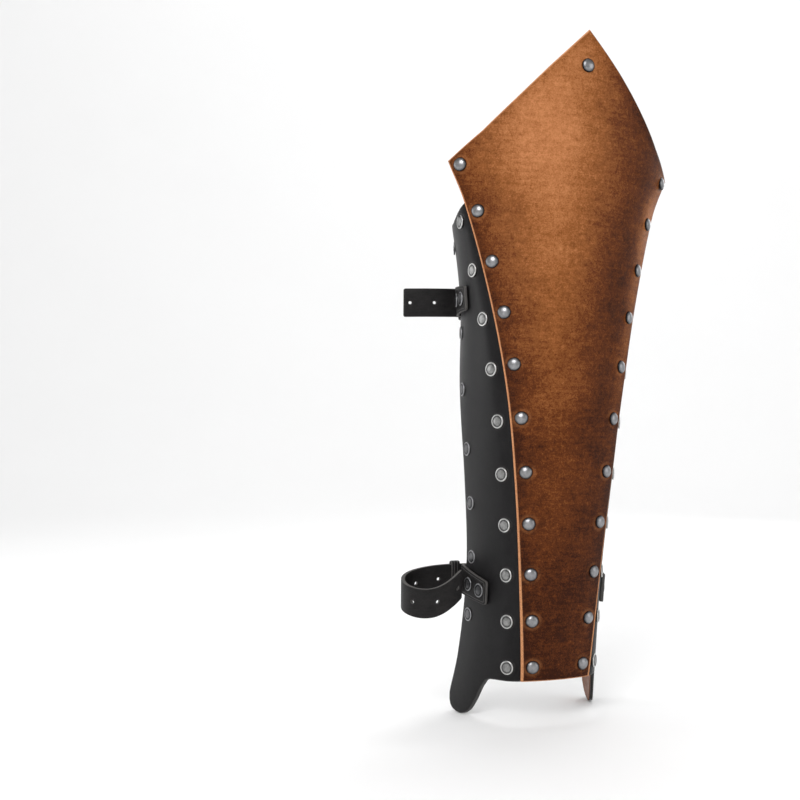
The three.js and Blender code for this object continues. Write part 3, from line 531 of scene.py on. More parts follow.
def band_place(knots, reverse):
    """A place function for a band: flat x runs along it in millimetres, and y across it."""
    line = smooth_line(knots, 600)
    along = np.concatenate([[0], np.cumsum(np.linalg.norm(np.diff(line[:, 1], axis=0), axis=1))])
    half = STRAP_WIDTH / 2

    def rails_at(s):
        return np.stack([
            np.stack([np.interp(s, along, line[:, rail, axis]) for axis in range(3)], -1)
            for rail in range(3)
        ], 1)

    def surface(x, w):
        s = -x if reverse else x
        rails, t = rails_at(s), (w / half)[:, None]
        over = np.where(s < 0, s, np.where(s > along[-1], s - along[-1], 0))[:, None]
        way = np.where(s[:, None] < 0, line[1, 1] - line[0, 1], line[-1, 1] - line[-2, 1])
        way = way / np.linalg.norm(way, axis=1)[:, None]
        flat = 0.5 * t * (t - 1) * rails[:, 0] + (1 - t**2) * rails[:, 1] + 0.5 * t * (t + 1) * rails[:, 2]
        return flat + way * over

    def place(points, lift):
        x, w = points[:, 0], points[:, 1]
        along_way = surface(x + 0.4, w) - surface(x - 0.4, w)
        across_way = surface(x, w + 0.4) - surface(x, w - 0.4)
        normal = np.cross(along_way, across_way)
        normal /= np.linalg.norm(normal, axis=1)[:, None]
        return surface(x, w) + normal * np.asarray(lift)[:, None]

    return place, along, line


def straight_tail(x, y, z, half):
    """The upper strap's free end, which leans slightly away."""
    lean = math.radians(10)
    return [(
        x - UPPER_TAIL * share * math.cos(lean * share),
        y + UPPER_TAIL * share * math.sin(lean * share),
        z - share,
        half,
    ) for share in (0.3, 0.65, 1)]


def curled_tail(x, y, z, half):
    """Runs out, curls round towards the shin and comes back to the chape, on one smooth dip."""
    curl = math.pi * LOOP_RADIUS
    length = LOOP_STRAIGHT + curl + LOOP_RETURN

    def dip(run):
        return z - LOOP_DROP * math.sin(math.pi * (run / length) ** 2.1)

    plan = [(x - LOOP_STRAIGHT / 2, y, dip(LOOP_STRAIGHT / 2), half)]
    centre = (x - LOOP_STRAIGHT, y - LOOP_RADIUS)
    for share in np.linspace(0, 1, 9):
        angle = math.pi * share
        plan.append((
            centre[0] - LOOP_RADIUS * math.sin(angle),
            centre[1] + LOOP_RADIUS * math.cos(angle),
            dip(LOOP_STRAIGHT + curl * share),
            half,
        ))
    for share in (0.35, 0.7, 1):
        plan.append((
            centre[0] + LOOP_RETURN * share,
            centre[1] - LOOP_RADIUS + LOOP_OPENING * share**2,
            dip(LOOP_STRAIGHT + curl + LOOP_RETURN * share),
            half,
        ))
    return plan


def buckle_of(name):
    """Where a strap's buckle bar, keeper and crossing are."""
    system = SYSTEMS[name]
    cross_x, cross_y = crossing(1, system["level"], STRAP_THICK)
    bar = np.array([BAR_X, cross_y - STRAP_UNDER, system["level"] + system["rise"]])
    keeper_x = crossing(-1, bar[2], CHAPE_THICK)[0] + system["shift"]
    return system, cross_x, cross_y, bar, keeper_x


def strap_knots(name):
    """A strap's knots from its root to its tip, and the length of its free part."""
    system, cross_x, cross_y, bar, keeper_x = buckle_of(name)
    half = STRAP_WIDTH / 2
    steps = [
        (BAR_X + FRAME_REACH, STRAP_UNDER), (BAR_X + 19, STRAP_UNDER), (BAR_X + 15, STRAP_UNDER * 0.4),
        (BAR_X + 11, STRAP_OVER * 0.5), (BAR_X + 6.5, STRAP_OVER), (BAR_X - 2, STRAP_OVER),
        (BAR_X - 7, (STRAP_OVER + STRAP_RESTS) / 2), (BAR_X - 12, STRAP_RESTS),
        (keeper_x - KEEPER_WIDTH / 2 - 1, STRAP_RESTS),
    ]
    plan = []
    for x, out in steps:
        share = min(max((cross_x - x) / (cross_x - BAR_X - FRAME_REACH), 0), 1)
        plan.append((x, bar[1] + out, system["level"] + system["rise"] * share, half))
    tail = straight_tail if name == "upper" else curled_tail
    plan += tail(*plan[-1])
    wall = wall_rails(1, system["root"], lambda s: system["level"], lambda s: half, STRAP_THICK, cross_y)
    free = sum(math.dist(a[:3], b[:3]) for a, b in zip(plan, plan[1:]))
    return wall + upright_rails(plan), free


def chape_knots(name):
    """A chape's knots from its front end to the eye that it turns round the bar."""
    system, _, _, bar, _ = buckle_of(name)
    half = STRAP_WIDTH / 2
    line_y = bar[1] + CHAPE_LINE
    knots = wall_rails(
        -1, system["chape"],
        lambda s: bar[2] - system["drop"] * (1 - s),
        lambda s: half * (CHAPE_TAPER + (1 - CHAPE_TAPER) * s),
        CHAPE_THICK, line_y,
    )
    start_x = knots[-1][1][0]
    plan = [(start_x + (BAR_X - start_x) * share, line_y, bar[2], half) for share in (0.35, 0.7, 1)]
    radius = -CHAPE_LINE
    for degrees in range(30, 301, 30):
        angle = math.radians(degrees - 90)
        plan.append((BAR_X + radius * math.cos(angle), bar[1] + radius * math.sin(angle), bar[2], half))
    return knots + upright_rails(plan)


# Studs
CAP_DOMED = [
    (3.85, -0.2), (4.2, 0.0), (4.32, 0.22), (4.26, 0.5), (4.0, 0.86), (3.6, 1.2), (3.0, 1.55),
    (2.25, 1.84), (1.4, 2.04), (0.6, 2.14), (0.05, 2.15),
]
CAP_FLAT = [
    (4.05, -0.2), (4.5, 0.0), (4.66, 0.3), (4.58, 0.62), (4.25, 0.82), (3.85, 0.78), (3.62, 0.62),
    (3.3, 0.66), (2.6, 0.86), (1.7, 1.02), (0.8, 1.1), (0.05, 1.12),
]
BACK_RING = [
    (3.9, -0.15), (4.1, 0.05), (4.15, 0.3), (3.95, 0.62), (3.5, 0.86), (2.9, 1.0), (2.3, 0.98),
    (1.8, 0.8), (1.55, 0.5), (1.45, 0.0), (1.4, -0.6), (0.05, -0.62),
]
BACK_PLAIN = [
    (3.7, -0.15), (3.9, 0.05), (3.95, 0.3), (3.7, 0.62), (3.1, 0.85), (2.2, 0.98), (1.2, 1.05),
    (0.05, 1.06),
]
# How dark a stud's metal is by the distance from its middle, as painted shade and highlight: domed caps
# darken towards their rim, flat caps are dark in the dip inside a bright rim, backs are dark in their hole.
# Distances, and shares of the dark tone
DOMED_SHADING = ([0, 3.0, 3.9, 4.3], [0.05, 0.2, 0.6, 0.95])
FLAT_SHADING = ([0, 2.5, 3.4, 3.75, 4.2, 4.6], [0.5, 0.55, 0.9, 0.6, 0.0, 0.2])
BACK_SHADING = ([0, 1.6, 2.0, 4.2], [1.0, 1.0, 0.0, 0.1])


def stud_at(across, level, outer, inner):
    """The place of a cap and of a back: (point, normal) for each."""
    cap, normal = on_wall(across, level, outer)
    back, _ = on_wall(across, level, inner)
    return (cap, normal), (back, -normal)


def rows_of_studs():
    """Every stud by row: a list of (across, level, outer lift, inner lift)."""
    rows = {"plate": [], "beside": [], "edge": [], "strap": []}
    rows["plate"].append((0.0, HEIGHT * PEAK_RIVET, PLATE_OUTER, LINER_INNER))
    for side in (1, -1):
        for k, share in enumerate(PLATE_ROW):
            level = HEIGHT * share
            half = float(plate_half(level))
            inner = LINER_INNER if k else GAP
            rows["plate"].append((side * (half - PLATE_MARGIN), level, PLATE_OUTER, inner))
            if k:
                lean = math.atan((float(plate_half(level + 1)) - float(plate_half(level - 1))) / 2)
                beside = half - PLATE_MARGIN + ROW_PITCH * math.cos(lean)
                rows["beside"].append((side * beside, level - ROW_PITCH * math.sin(lean), 0.0, LINER_INNER))
        for share in BACK_ROW:
            level = HEIGHT * share
            rows["edge"].append((side * (float(wrap_reach(level)) - BACK_MARGIN), level, 0.0, LINER_INNER))
    for name in SYSTEMS:
        system, _, _, bar, _ = buckle_of(name)
        for k in (0, 1):
            reach = system["root"] + ROOT_MARGIN + ROOT_PITCH * k
            rows["strap"].append((reach, system["level"], LIFT + STRAP_THICK, LINER_INNER))
        for k in (0, 1):
            reach = system["chape"] + CHAPE_MARGIN + CHAPE_PITCH * k
            share = (reach - system["chape"]) / (float(wrap_reach(system["level"])) - system["chape"])
            level = bar[2] - system["drop"] * (1 - share)
            rows["strap"].append((-reach, level, LIFT + CHAPE_THICK, LINER_INNER))
    return rows


# Finishes
class Value:
    """A shader socket that takes part in sums: an expression on it adds its Math nodes."""

    def __init__(self, finish, socket):
        self.finish, self.socket = finish, socket

    def _sum(self, operation, *parts, clamp=False):
        settings = {"operation": operation, "use_clamp": clamp}
        return self.finish.node("Math", settings, dict(enumerate(parts)))["Value"]

    def __add__(self, other):
        return self._sum("ADD", self, other)

    def __radd__(self, other):
        return self._sum("ADD", other, self)

    def __sub__(self, other):
        return self._sum("SUBTRACT", self, other)

    def __rsub__(self, other):
        return self._sum("SUBTRACT", other, self)

    def __mul__(self, other):
        return self._sum("MULTIPLY", self, other)

    def __rmul__(self, other):
        return self._sum("MULTIPLY", other, self)

    def limited(self):
        return self._sum("ADD", self, 0.0, clamp=True)


class Finish:
    """A material and the one method that adds nodes to it."""

    def __init__(self, name, **constants):
        self.material = bpy.data.materials.new(name)
        self.material.use_nodes = True
        self.tree = self.material.node_tree
        self.shader = self.tree.nodes["Principled BSDF"]
        for key, value in constants.items():
            self.shader.inputs[key.replace("_", " ").title().replace("Ior", "IOR")].default_value = value

    def node(self, kind, settings=None, sockets=None):
        """Adds a node, sets its settings, then gives its sockets values or links."""
        node = self.tree.nodes.new("ShaderNode" + kind)
        for key, value in (settings or {}).items():
            if key == "stops":
                ramp = node.color_ramp
                while len(ramp.elements) < len(value):
                    ramp.elements.new(0.5)
                for element, (position, colour) in zip(ramp.elements, value):
                    element.position, element.color = position, (*colour, 1)
            else:
                setattr(node, key, value)
        for key, value in (sockets or {}).items():
            self.set(node.inputs[key], value)
        return {s.name: Value(self, s) for s in reversed(node.outputs) if s.enabled}

    def set(self, socket, value):
        if isinstance(value, Value):
            self.tree.links.new(value.socket, socket)
        elif not np.isscalar(value) and len(value) == 3 and len(socket.default_value) == 4:
            socket.default_value = (*value, 1)
        else:
            socket.default_value = value

    def out(self, **sockets):
        """Feeds the shader's own sockets."""
        for key, value in sockets.items():
            self.set(self.shader.inputs[key.replace("_", " ")], value)

    def place(self):
        return self.node("TexCoord")["Object"]

    def attribute(self, name):
        return self.node("Attribute", {"attribute_name": name})["Fac"]

    def noise(self, scale, detail=4.0, roughness=0.55, vector=None, distortion=0.0):
        return self.node("TexNoise", None, {
            "Vector": vector or self.place(), "Scale": scale, "Detail": detail, "Roughness": roughness,
            "Distortion": distortion,
        })["Fac"]

    def cells(self, scale, vector=None, feature="F1"):
        return self.node("TexVoronoi", {"feature": feature}, {
            "Vector": vector or self.place(), "Scale": scale,
        })["Distance"]

    def stretched(self, scale):
        return self.node("Mapping", None, {"Vector": self.place(), "Scale": scale})["Vector"]

    def ramp(self, value, stops):
        return self.node("ValToRGB", {"stops": stops}, {"Fac": value})["Color"]

    def steps(self, value, low, high, start=0.0, end=1.0):
        """A smooth step of a value from start, below low, to end, above high."""
        return self.node("MapRange", {"interpolation_type": "SMOOTHSTEP"}, {
            "Value": value, "From Min": low, "From Max": high, "To Min": start, "To Max": end,
        })["Result"]

    def blend(self, amount, first, second):
        """Mixes two colours by an amount."""
        return self.node("Mix", {"data_type": "RGBA"}, {0: amount, 6: first, 7: second})["Result"]

    def bump(self, height, strength, distance, normal=None):
        sockets = {"Height": height, "Strength": strength, "Distance": distance}
        if normal is not None:
            sockets["Normal"] = normal
        return self.node("Bump", None, sockets)["Normal"]


def brown_leather(colours):
    """Waxed brown leather: mottled, with a painted sheen where the plate bows out and towards the top, a
    painted shadow under each stud's cap and a painted highlight ring round it, and a raw tan edge.
    """
    finish = Finish("brown_leather", specular_ior_level=0.1)
    edge, stud, face = (finish.attribute(n) for n in ("edge_mm", "stud_mm", "outer_face"))
    paleness, raw_width = finish.attribute("paleness"), finish.attribute("raw_mm")
    clouds = finish.noise(15, 5, 0.6, distortion=0.4)
    patches = finish.noise(46, 6, 0.7, distortion=0.3)
    mottle = finish.noise(330, 5, 0.85, distortion=0.6)
    specks = finish.noise(1100, 3, 0.75)
    brushed = finish.noise(120, 4, 0.7, finish.stretched((0.5, 0.5, 4.0)))
    # The plate's sheen value is painted sheen; it lifts the tone towards pale brown
    tone = paleness * 0.74 + (clouds - 0.5) * 0.5 + (patches - 0.5) * 0.4 + (brushed - 0.5) * 0.4 + 0.1
    tone = tone + (mottle - 0.5) * 0.95 + (specks - 0.5) * 0.8 - finish.steps(edge, 1.0, 10.0, 0.1, 0.0)
    colour = finish.ramp(tone.limited(), [
        (0.0, colours.brown_dark), (0.3, colours.brown_deep),
        (0.62, colours.brown_mid), (1.0, colours.brown_pale),
    ])
    # Painted highlight: a patchy pale ring just outside each stud's cap, where the leather dips; the same
    # mask also dents the bump below
    dent_and_highlight = finish.steps(stud, 4.2, 4.9, 0.0, 1.0) * finish.steps(stud, 4.9, 7.4, 1.0, 0.0)
    dent_and_highlight = dent_and_highlight * finish.steps(patches, 0.42, 0.58, 0.1, 1.0)
    colour = finish.blend(dent_and_highlight * 0.2, colour, colours.brown_dimple_highlight)
    # Painted shadow: dark brown under each stud's cap, out to 4.8 mm from its middle
    cap_shadow = finish.steps(stud, 4.1, 4.8, 0.85, 0.0)
    colour = finish.blend(cap_shadow, colour, colours.brown_dark)
    fray = finish.noise(1300, 3, 0.7)
    raw = finish.steps(edge + (fray - 0.5) * 1.3 - raw_width, -0.3, 0.3, 1.0, 0.0)
    tan = finish.ramp(fray, [(0.25, colours.raw_shadow), (0.62, colours.raw_edge)])
    colour = finish.blend(raw, colour, tan)
    inside = finish.steps(face, 0.1, 0.3, 1.0, 0.0)
    suede = finish.ramp(finish.noise(260, 6, 0.8), [(0.3, colours.suede_dark), (0.75, colours.suede_pale)])
    colour = finish.blend(inside, colour, suede)
    grain = specks * 0.5 + finish.cells(1300) * 0.35 + finish.noise(3200, 2, 0.7) * 0.3
    normal = finish.bump(grain, 0.4, 0.00022)
    dents = finish.noise(70, 4, 0.6) + mottle * 0.12 - dent_and_highlight * 0.5
    normal = finish.bump(dents, 0.32, 0.0007, normal)
    gloss = (0.47 + (patches - 0.5) * 0.25 + (mottle - 0.5) * 0.3 + raw * 0.35 + inside * 0.3).limited()
    finish.out(Base_Color=colour, Roughness=gloss, Normal=normal)
    return finish.material


def black_leather(colours, name="black_leather", grained=False):
    """Black leather: smooth and half glossy outside, or pebbled where it is the liner, with a painted
    highlight ring round each stud.
    """
    finish = Finish(name, specular_ior_level=0.34 if grained else 0.17)
    edge, stud = finish.attribute("edge_mm"), finish.attribute("stud_mm")
    clouds = finish.noise(22, 5, 0.6)
    specks = finish.noise(1100, 3, 0.75)
    wear = finish.noise(90, 6, 0.75)
    tone = (clouds * 0.4 + specks * 0.6 + wear * 0.35 - 0.18).limited()
    colour = finish.ramp(tone, [(0.3, colours.black_deep), (0.75, colours.black_worn)])
    worn_edge = finish.steps(edge + (wear - 0.5) * 0.8, 0.3, 1.1, 0.55, 0.0)
    colour = finish.blend(worn_edge, colour, colours.black_edge)
    # Painted highlight: a faint pale ring just outside each stud
    dimple_highlight = finish.steps(stud, 4.5, 4.9, 0.0, 1.0) * finish.steps(stud, 5.0, 6.2, 0.22, 0.0)
    colour = finish.blend(dimple_highlight, colour, colours.black_edge)
    if grained:
        face = finish.attribute("outer_face")
        tanned = finish.attribute("tanned") * finish.steps(face, 0.1, 0.6, 1.0, 0.0)
        tan = finish.ramp(finish.noise(260, 6, 0.8), [(0.3, colours.brown_deep), (0.75, colours.brown_mid)])
        colour = finish.blend(tanned, colour, tan)
        pebbles = finish.cells(620) * 0.8 + finish.cells(1150, feature="SMOOTH_F1") * 0.4
        creases = finish.noise(420, 5, 0.7)
        normal = finish.bump(pebbles + creases * 0.5, 0.75, 0.0005)
        gloss = (0.5 + (creases - 0.5) * 0.5 + (wear - 0.5) * 0.2).limited()
    else:
        pores = finish.cells(1500) * 0.4 + specks * 0.6
        normal = finish.bump(pores, 0.22, 0.0002)
        normal = finish.bump(finish.noise(60, 3, 0.5), 0.14, 0.0008, normal)
        gloss = (0.4 + (clouds - 0.5) * 0.2 + (specks - 0.5) * 0.2).limited()
    finish.out(Base_Color=colour, Roughness=gloss, Normal=normal)
    return finish.material


def strap_leather(colours):
    """Strap leather: dark grey, rubbed at the bends, with pale cut edges and hole rims."""
    finish = Finish("strap_leather", specular_ior_level=0.16)
    edge = finish.attribute("edge_mm")
    clouds = finish.noise(60, 5, 0.65)
    specks = finish.noise(1400, 3, 0.75)
    lines = finish.noise(240, 4, 0.7, finish.stretched((1.0, 1.0, 3.0)))
    tone = (clouds * 0.45 + specks * 0.3 + lines * 0.25 + finish.attribute("rubbed") * 0.5 - 0.12).limited()
    colour = finish.ramp(tone, [(0.25, colours.strap_dark), (0.95, colours.strap_pale)])
    cut = finish.steps(edge + (specks - 0.5) * 0.4, 0.15, 0.5, 1.0, 0.0)
    colour = finish.blend(cut * 0.7, colour, colours.strap_edge)
    crease = finish.steps(edge, 1.5, 1.75, 0.0, 1.0) * finish.steps(edge, 1.95, 2.3, 1.0, 0.0)
    crease = crease * finish.attribute("creased")
    colour = finish.blend(crease * 0.5, colour, colours.strap_edge)
    normal = finish.bump(specks + lines * 0.5 + finish.cells(1200) * 0.3, 0.35, 0.00025)
    normal = finish.bump(1.0 - crease, 0.5, 0.0004, normal)
    gloss = (0.46 + (clouds - 0.5) * 0.25 + cut * 0.3).limited()
    finish.out(Base_Color=colour, Roughness=gloss, Normal=normal)
    return finish.material


def stud_metal(name, pale, dark, polish):
    """Antiqued metal, darker by a value on its points: painted shade and highlight by radius on the studs,
    and painted shade with patina in the buckle frame's channel.
    """
    finish = Finish(name, metallic=1.0)
    # On the studs this value is painted shade and highlight by radius
    low = finish.attribute("hollow")
    stains = finish.noise(420, 5, 0.7)
    scratches = finish.noise(900, 3, 0.7, finish.stretched((1.0, 1.0, 6.0)))
    tone = (low * 0.9 + (stains - 0.5) * 0.55 + 0.12).limited()
    colour = finish.ramp(tone, [(0.15, pale), (0.85, dark)])
    normal = finish.bump(scratches + finish.noise(1600, 2, 0.6) * 0.6, 0.12, 0.0001)
    gloss = (polish + (stains - 0.5) * 0.25 + low * 0.2).limited()
    finish.out(Base_Color=colour, Roughness=gloss, Normal=normal)
    return finish.material


# Settings
def shade(red, green, blue):
    """A colour given as 0 to 255 on a screen, as the linear values that a shader takes."""
    return tuple((c / 255 / 12.92) if c / 255 <= 0.04045 else ((c / 255 + 0.055) / 1.055) ** 2.4
                 for c in (red, green, blue))


def colour_setting(name, description, value):
    """A colour that a user can change."""
    return FloatVectorProperty(
        name=name, description=description, subtype="COLOR", size=3, min=0, max=1, default=value,
    )


def length_setting(name, description, value, high):
    """A length that a user can change, given in millimetres and kept in metres up to high."""
    return FloatProperty(
        name=name, description=description, unit="LENGTH", min=0, max=high, default=value * MM,
    )


def power_setting(name, description, value):
    """A lamp's power that a user can change."""
    return FloatProperty(name=name, description=description, unit="POWER", min=0, default=value)


class GreaveColours(bpy.types.PropertyGroup):
    """The colours of the leathers and metals"""
    # Pale brown shows mostly where the plate's painted sheen is strongest, and in the leather's paler
    # clouds
    brown_pale: colour_setting("Pale brown", "Brown leather where it is rubbed", shade(186, 122, 78))
    brown_mid: colour_setting("Middle brown", "Main colour of the brown leather", shade(140, 84, 42))
    brown_deep: colour_setting("Deep brown", "Brown leather in its darker clouds", shade(94, 47, 15))
    # Dark brown is also the painted shadow under each stud's cap
    brown_dark: colour_setting("Dark brown", "Brown leather in its darkest places", shade(48, 18, 3))
    # Pressed brown is the colour of the painted highlight ring round each stud on the brown
    brown_dimple_highlight: colour_setting("Pressed brown", "Pale ring round a stud on the brown", shade(186, 122, 76))
    raw_edge: colour_setting("Raw edge", "Cut edge of the brown leather", shade(208, 150, 108))
    raw_shadow: colour_setting("Raw edge shadow", "Fibres of the cut edge in shadow", shade(146, 86, 48))
    suede_pale: colour_setting("Suede", "Flesh side of the brown leather", shade(104, 56, 26))
    suede_dark: colour_setting("Dark suede", "Flesh side of the brown leather in shadow", shade(56, 25, 9))
    black_deep: colour_setting("Black", "Black leather", shade(9, 8, 9))
    black_worn: colour_setting("Worn black", "Black leather where it is rubbed", shade(30, 29, 30))
    # Black edge also colours the painted highlight ring round each stud
    black_edge: colour_setting("Black edge", "Cut edge of the black leather", shade(82, 80, 79))
    strap_dark: colour_setting("Strap", "Strap leather", shade(12, 11, 12))
    strap_pale: colour_setting("Rubbed strap", "Strap leather where it bends", shade(58, 56, 55))
    strap_edge: colour_setting("Strap edge", "Cut edge of the straps", shade(98, 96, 94))
    silver_pale: colour_setting("Silver", "Buckle metal where it is rubbed", shade(206, 206, 204))
    # Dark silver is the painted shade on the stud backs and on the caps beside the plate, and the darker
    # channel of the buckles
    silver_dark: colour_setting("Dark silver", "Buckle metal in its low places", shade(70, 70, 70))
    cap_pale: colour_setting("Stud", "Stud caps", shade(152, 152, 154))
    # Dark stud is the painted shade on the stud caps, by radius
    cap_dark: colour_setting("Dark stud", "Stud caps in their low places", shade(26, 26, 28))


class GreaveSizes(bpy.types.PropertyGroup):
    """The sizes of the details"""
    mesh_step: length_setting("Mesh step", "Distance between points of the leather's mesh", 2.4, 0.01)
    plate_edge: length_setting("Plate edge", "How far the plate's cut edge is eased", 0.9, 0.002)
    wall_edge: length_setting("Wall edge", "How far the thin leather's edge is eased", 0.45, 0.001)
    strap_edge: length_setting("Strap edge", "How far the straps' edge is eased", 0.55, 0.001)
    hole: length_setting("Strap hole", "Radius of the holes in the straps", 1.0, 0.004)


class GreaveStage(bpy.types.PropertyGroup):
    """The floor's colour and the lights"""
    floor: colour_setting("Floor", "Floor and backdrop", (0.93, 0.93, 0.93))
    wall: power_setting("Wall light", "Power of the light on the backdrop", 28)
    key: power_setting("Key light", "Power of the main light", 18)
    rim: power_setting("Rim lights", "Power of the lights behind", 3.5)
    sky: FloatProperty(name="Sky", description="Strength of the even light all round", default=0.33, min=0)


_finishes = {}


def finish_of(name):
    """The finish for a material slot or a metal, made once."""
    colours = bpy.context.scene.greave_colours
    silver = (colours.silver_pale, colours.silver_dark)
    makers = {
        "brown_leather": lambda: brown_leather(colours),
        "black_leather": lambda: black_leather(colours),
        "grained_leather": lambda: black_leather(colours, "grained_leather", True),
        "strap_leather": lambda: strap_leather(colours),
        "stud_caps": lambda: stud_metal("stud_caps", colours.cap_pale, colours.cap_dark, 0.3),
        "bright_backs": lambda: stud_metal("bright_backs", *silver, 0.24),
        "antique_silver": lambda: stud_metal("antique_silver", *silver, 0.3),
    }
    if name not in _finishes:
        _finishes[name] = makers[name]()
    return _finishes[name]


def flat_studs(*rows):
    """The flat places of the studs in some rows."""
    found = rows_of_studs()
    return [(across, level) for row in rows for across, level, _, _ in found[row]]


def sheet_piece(
    name, outline, holes, place, lift, thick, edge, finish, replaced, studs=(), step=None, extra=None,
):
    """A leather sheet as a finished piece. extra gives more values for its points."""
    spacing = (step or bpy.context.scene.greave_sizes.mesh_step) / MM
    points, faces, values = leather_sheet(
        spread(outline, spacing * 0.7), holes, spacing, place, lift, thick, edge / MM, studs,
    )
    if extra:
        values.update(extra(points))
    return make_piece(name, points, faces, finish_of(finish), replaced, values)


# Operators
class GREAVE_OT_plate(bpy.types.Operator):
    """Makes the thick brown plate over the shin and knee"""
    bl_idname = "greave.plate"
    bl_label = "Front plate"

    def execute(self, context):
        levels = np.linspace(HEIGHT * PLATE_BOTTOM, HEIGHT * PLATE_CORNER, 60)
        right = [(float(plate_half(z)), z) for z in levels]
        shoulder = [(KNEE_HALF * across, HEIGHT * height) for across, height in PLATE_SHOULDER]
        half = right + shoulder
        outline = half + [(0, HEIGHT)] + [(-x, z) for x, z in reversed(half)]

        def looks(points):
            level = points[:, 2]
            height = level / HEIGHT
            x = points[:, 0] / (plate_half(level) + 1)
            # Painted sheen: a pale band a little towards negative x, growing from the bottom to its
            # strongest near 0.83 of the height
            centre_sheen = np.exp(-((x + 0.28) / 0.58) ** 2)
            rise = np.interp(
                height, [0.05, 0.25, 0.45, 0.62, 0.75, 0.83, 0.95], [0.0, 0.1, 0.3, 0.62, 0.78, 1.04, 0.92],
            )
            # Painted sheen: a pale stripe near the positive-x edge, from about a third to 0.84 of the
            # height
            rim = np.exp(-((x - 0.88) / 0.15) ** 2)
            rim = rim * np.interp(height, [0.35, 0.6, 0.76, 0.84], [0, 0.6, 0.9, 0])
            raw = np.interp(level, [30, 150, 330, 370], [1.8, 1.4, 1.1, 0.8])
            raw = raw - np.where(points[:, 0] > 0, np.interp(level, [80, 160], [0.2, 0.7]), 0)
            low = (level < HEIGHT * PLATE_BOTTOM + 2.5) & (np.abs(x) < 0.94)
            raw = np.where(low, 0.75, raw)
            return {"paleness": np.clip(centre_sheen * rise + rim, 0, 1), "raw_mm": raw}

        sheet_piece(
            "front_plate_leather", outline, [], wall_place, GAP, PLATE_THICK,
            context.scene.greave_sizes.plate_edge, "brown_leather", ["front_plate"],
            flat_studs("plate"), extra=looks,
        )
        return {"FINISHED"}


def side_outline(front):
    """The wall's outline on the wearer's left, from a front edge at a share of the plate's half."""
    tab = [(float(reach_at(a, HEIGHT * h)), HEIGHT * h) for a, h in TAB_OUTLINE]
    top = [(a, h) for a, h in LINER_TOP if a >= 0.5]
    crown = [(float(reach_at(a, HEIGHT * h)), HEIGHT * h) for a, h in reversed(top)]
    levels = np.linspace(TAB_OUTLINE[-1][1] + 0.02, LINER_TOP[-1][1] - 0.01, 40) * HEIGHT
    back = [(float(wrap_reach(z)), z) for z in levels]
    low = HEIGHT * TAB_OUTLINE[0][1]
    if front == 0:
        return tab + back + [(float(reach_at(a, HEIGHT * h)), HEIGHT * h) for a, h in reversed(LINER_TOP)]
    edge = [(float(plate_half(z)) * front, z) for z in np.linspace(HEIGHT * 0.82, low, 40)]
    return tab + back + crown + edge


class GREAVE_OT_liner(bpy.types.Operator):
    """Makes the grained liner that wraps the leg"""
    bl_idname = "greave.liner"
    bl_label = "Liner"

    def execute(self, context):
        right = side_outline(0)
        outline = right + [(-x, z) for x, z in reversed(right[:-1])]

        def looks(points):
            return {"tanned": np.interp(points[:, 2], [30, 36], [1, 0]) * (points[:, 0] > 0)}

        sheet_piece(
            "liner_leather", outline, [], wall_place, LINER_INNER, LINER_THICK,
            context.scene.greave_sizes.wall_edge, "grained_leather", ["liner"],
            flat_studs("plate", "beside", "edge", "strap"), step=LINER_STEP, extra=looks,
        )
        return {"FINISHED"}


class GREAVE_OT_side_panels(bpy.types.Operator):
    """Makes the smooth black panels on both sides of the plate"""
    bl_idname = "greave.side_panels"
    bl_label = "Side panels"

    def execute(self, context):
        right = side_outline(PANEL_FRONT)
        for name, side in (("left", 1), ("right", -1)):
            outline = right if side > 0 else [(-x, z) for x, z in reversed(right)]
            sheet_piece(
                f"side_panel_{name}_leather", outline, [], wall_place, -PANEL_THICK, PANEL_THICK,
                context.scene.greave_sizes.wall_edge, "black_leather",
                [f"side_panel_{name}"], flat_studs("beside", "edge"),
            )
        return {"FINISHED"}


class GREAVE_OT_studs(bpy.types.Operator):
    """Makes every row of studs, with their backs inside the liner"""
    bl_idname = "greave.studs"
    bl_label = "Studs"

    def execute(self, context):
        nodes = [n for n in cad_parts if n.startswith("rivet")]
        groups = {
            "plate": [n for n in nodes if n.startswith(("rivet_plate", "rivet_peak"))],
            "beside": ["side_panel_left", "side_panel_right", "liner"],
            "edge": [n for n in nodes if n.startswith("rivet_back")],
            "strap": [n for n in nodes if n.endswith(("strap_1", "strap_2", "chape_1", "chape_2"))],
        }
        for row, studs in rows_of_studs().items():
            caps, backs = zip(*(stud_at(*stud) for stud in studs))
            if row == "plate":
                self.make_row("plate_stud_caps", CAP_DOMED, DOMED_SHADING, "stud_caps", caps, groups[row])
            else:
                finish = "antique_silver" if row == "beside" else "stud_caps"
                self.make_row(f"{row}_stud_caps", CAP_FLAT, FLAT_SHADING, finish, caps, groups[row])
            profile = BACK_RING if row != "strap" else BACK_PLAIN
            finish = "bright_backs" if row in ("plate", "beside") else "stud_caps"
            self.make_row(f"{row}_stud_backs", profile, BACK_SHADING, finish, backs, groups[row])
        return {"FINISHED"}

    def make_row(self, name, profile, tone, finish, places, replaced):
        points, faces, radii = turned_shapes(profile, places)
        # The studs' tone by radius is painted shade and highlight
        make_piece(
            name, points, faces, finish_of(finish), replaced,
            {"hollow": np.interp(radii, *tone)},
        )


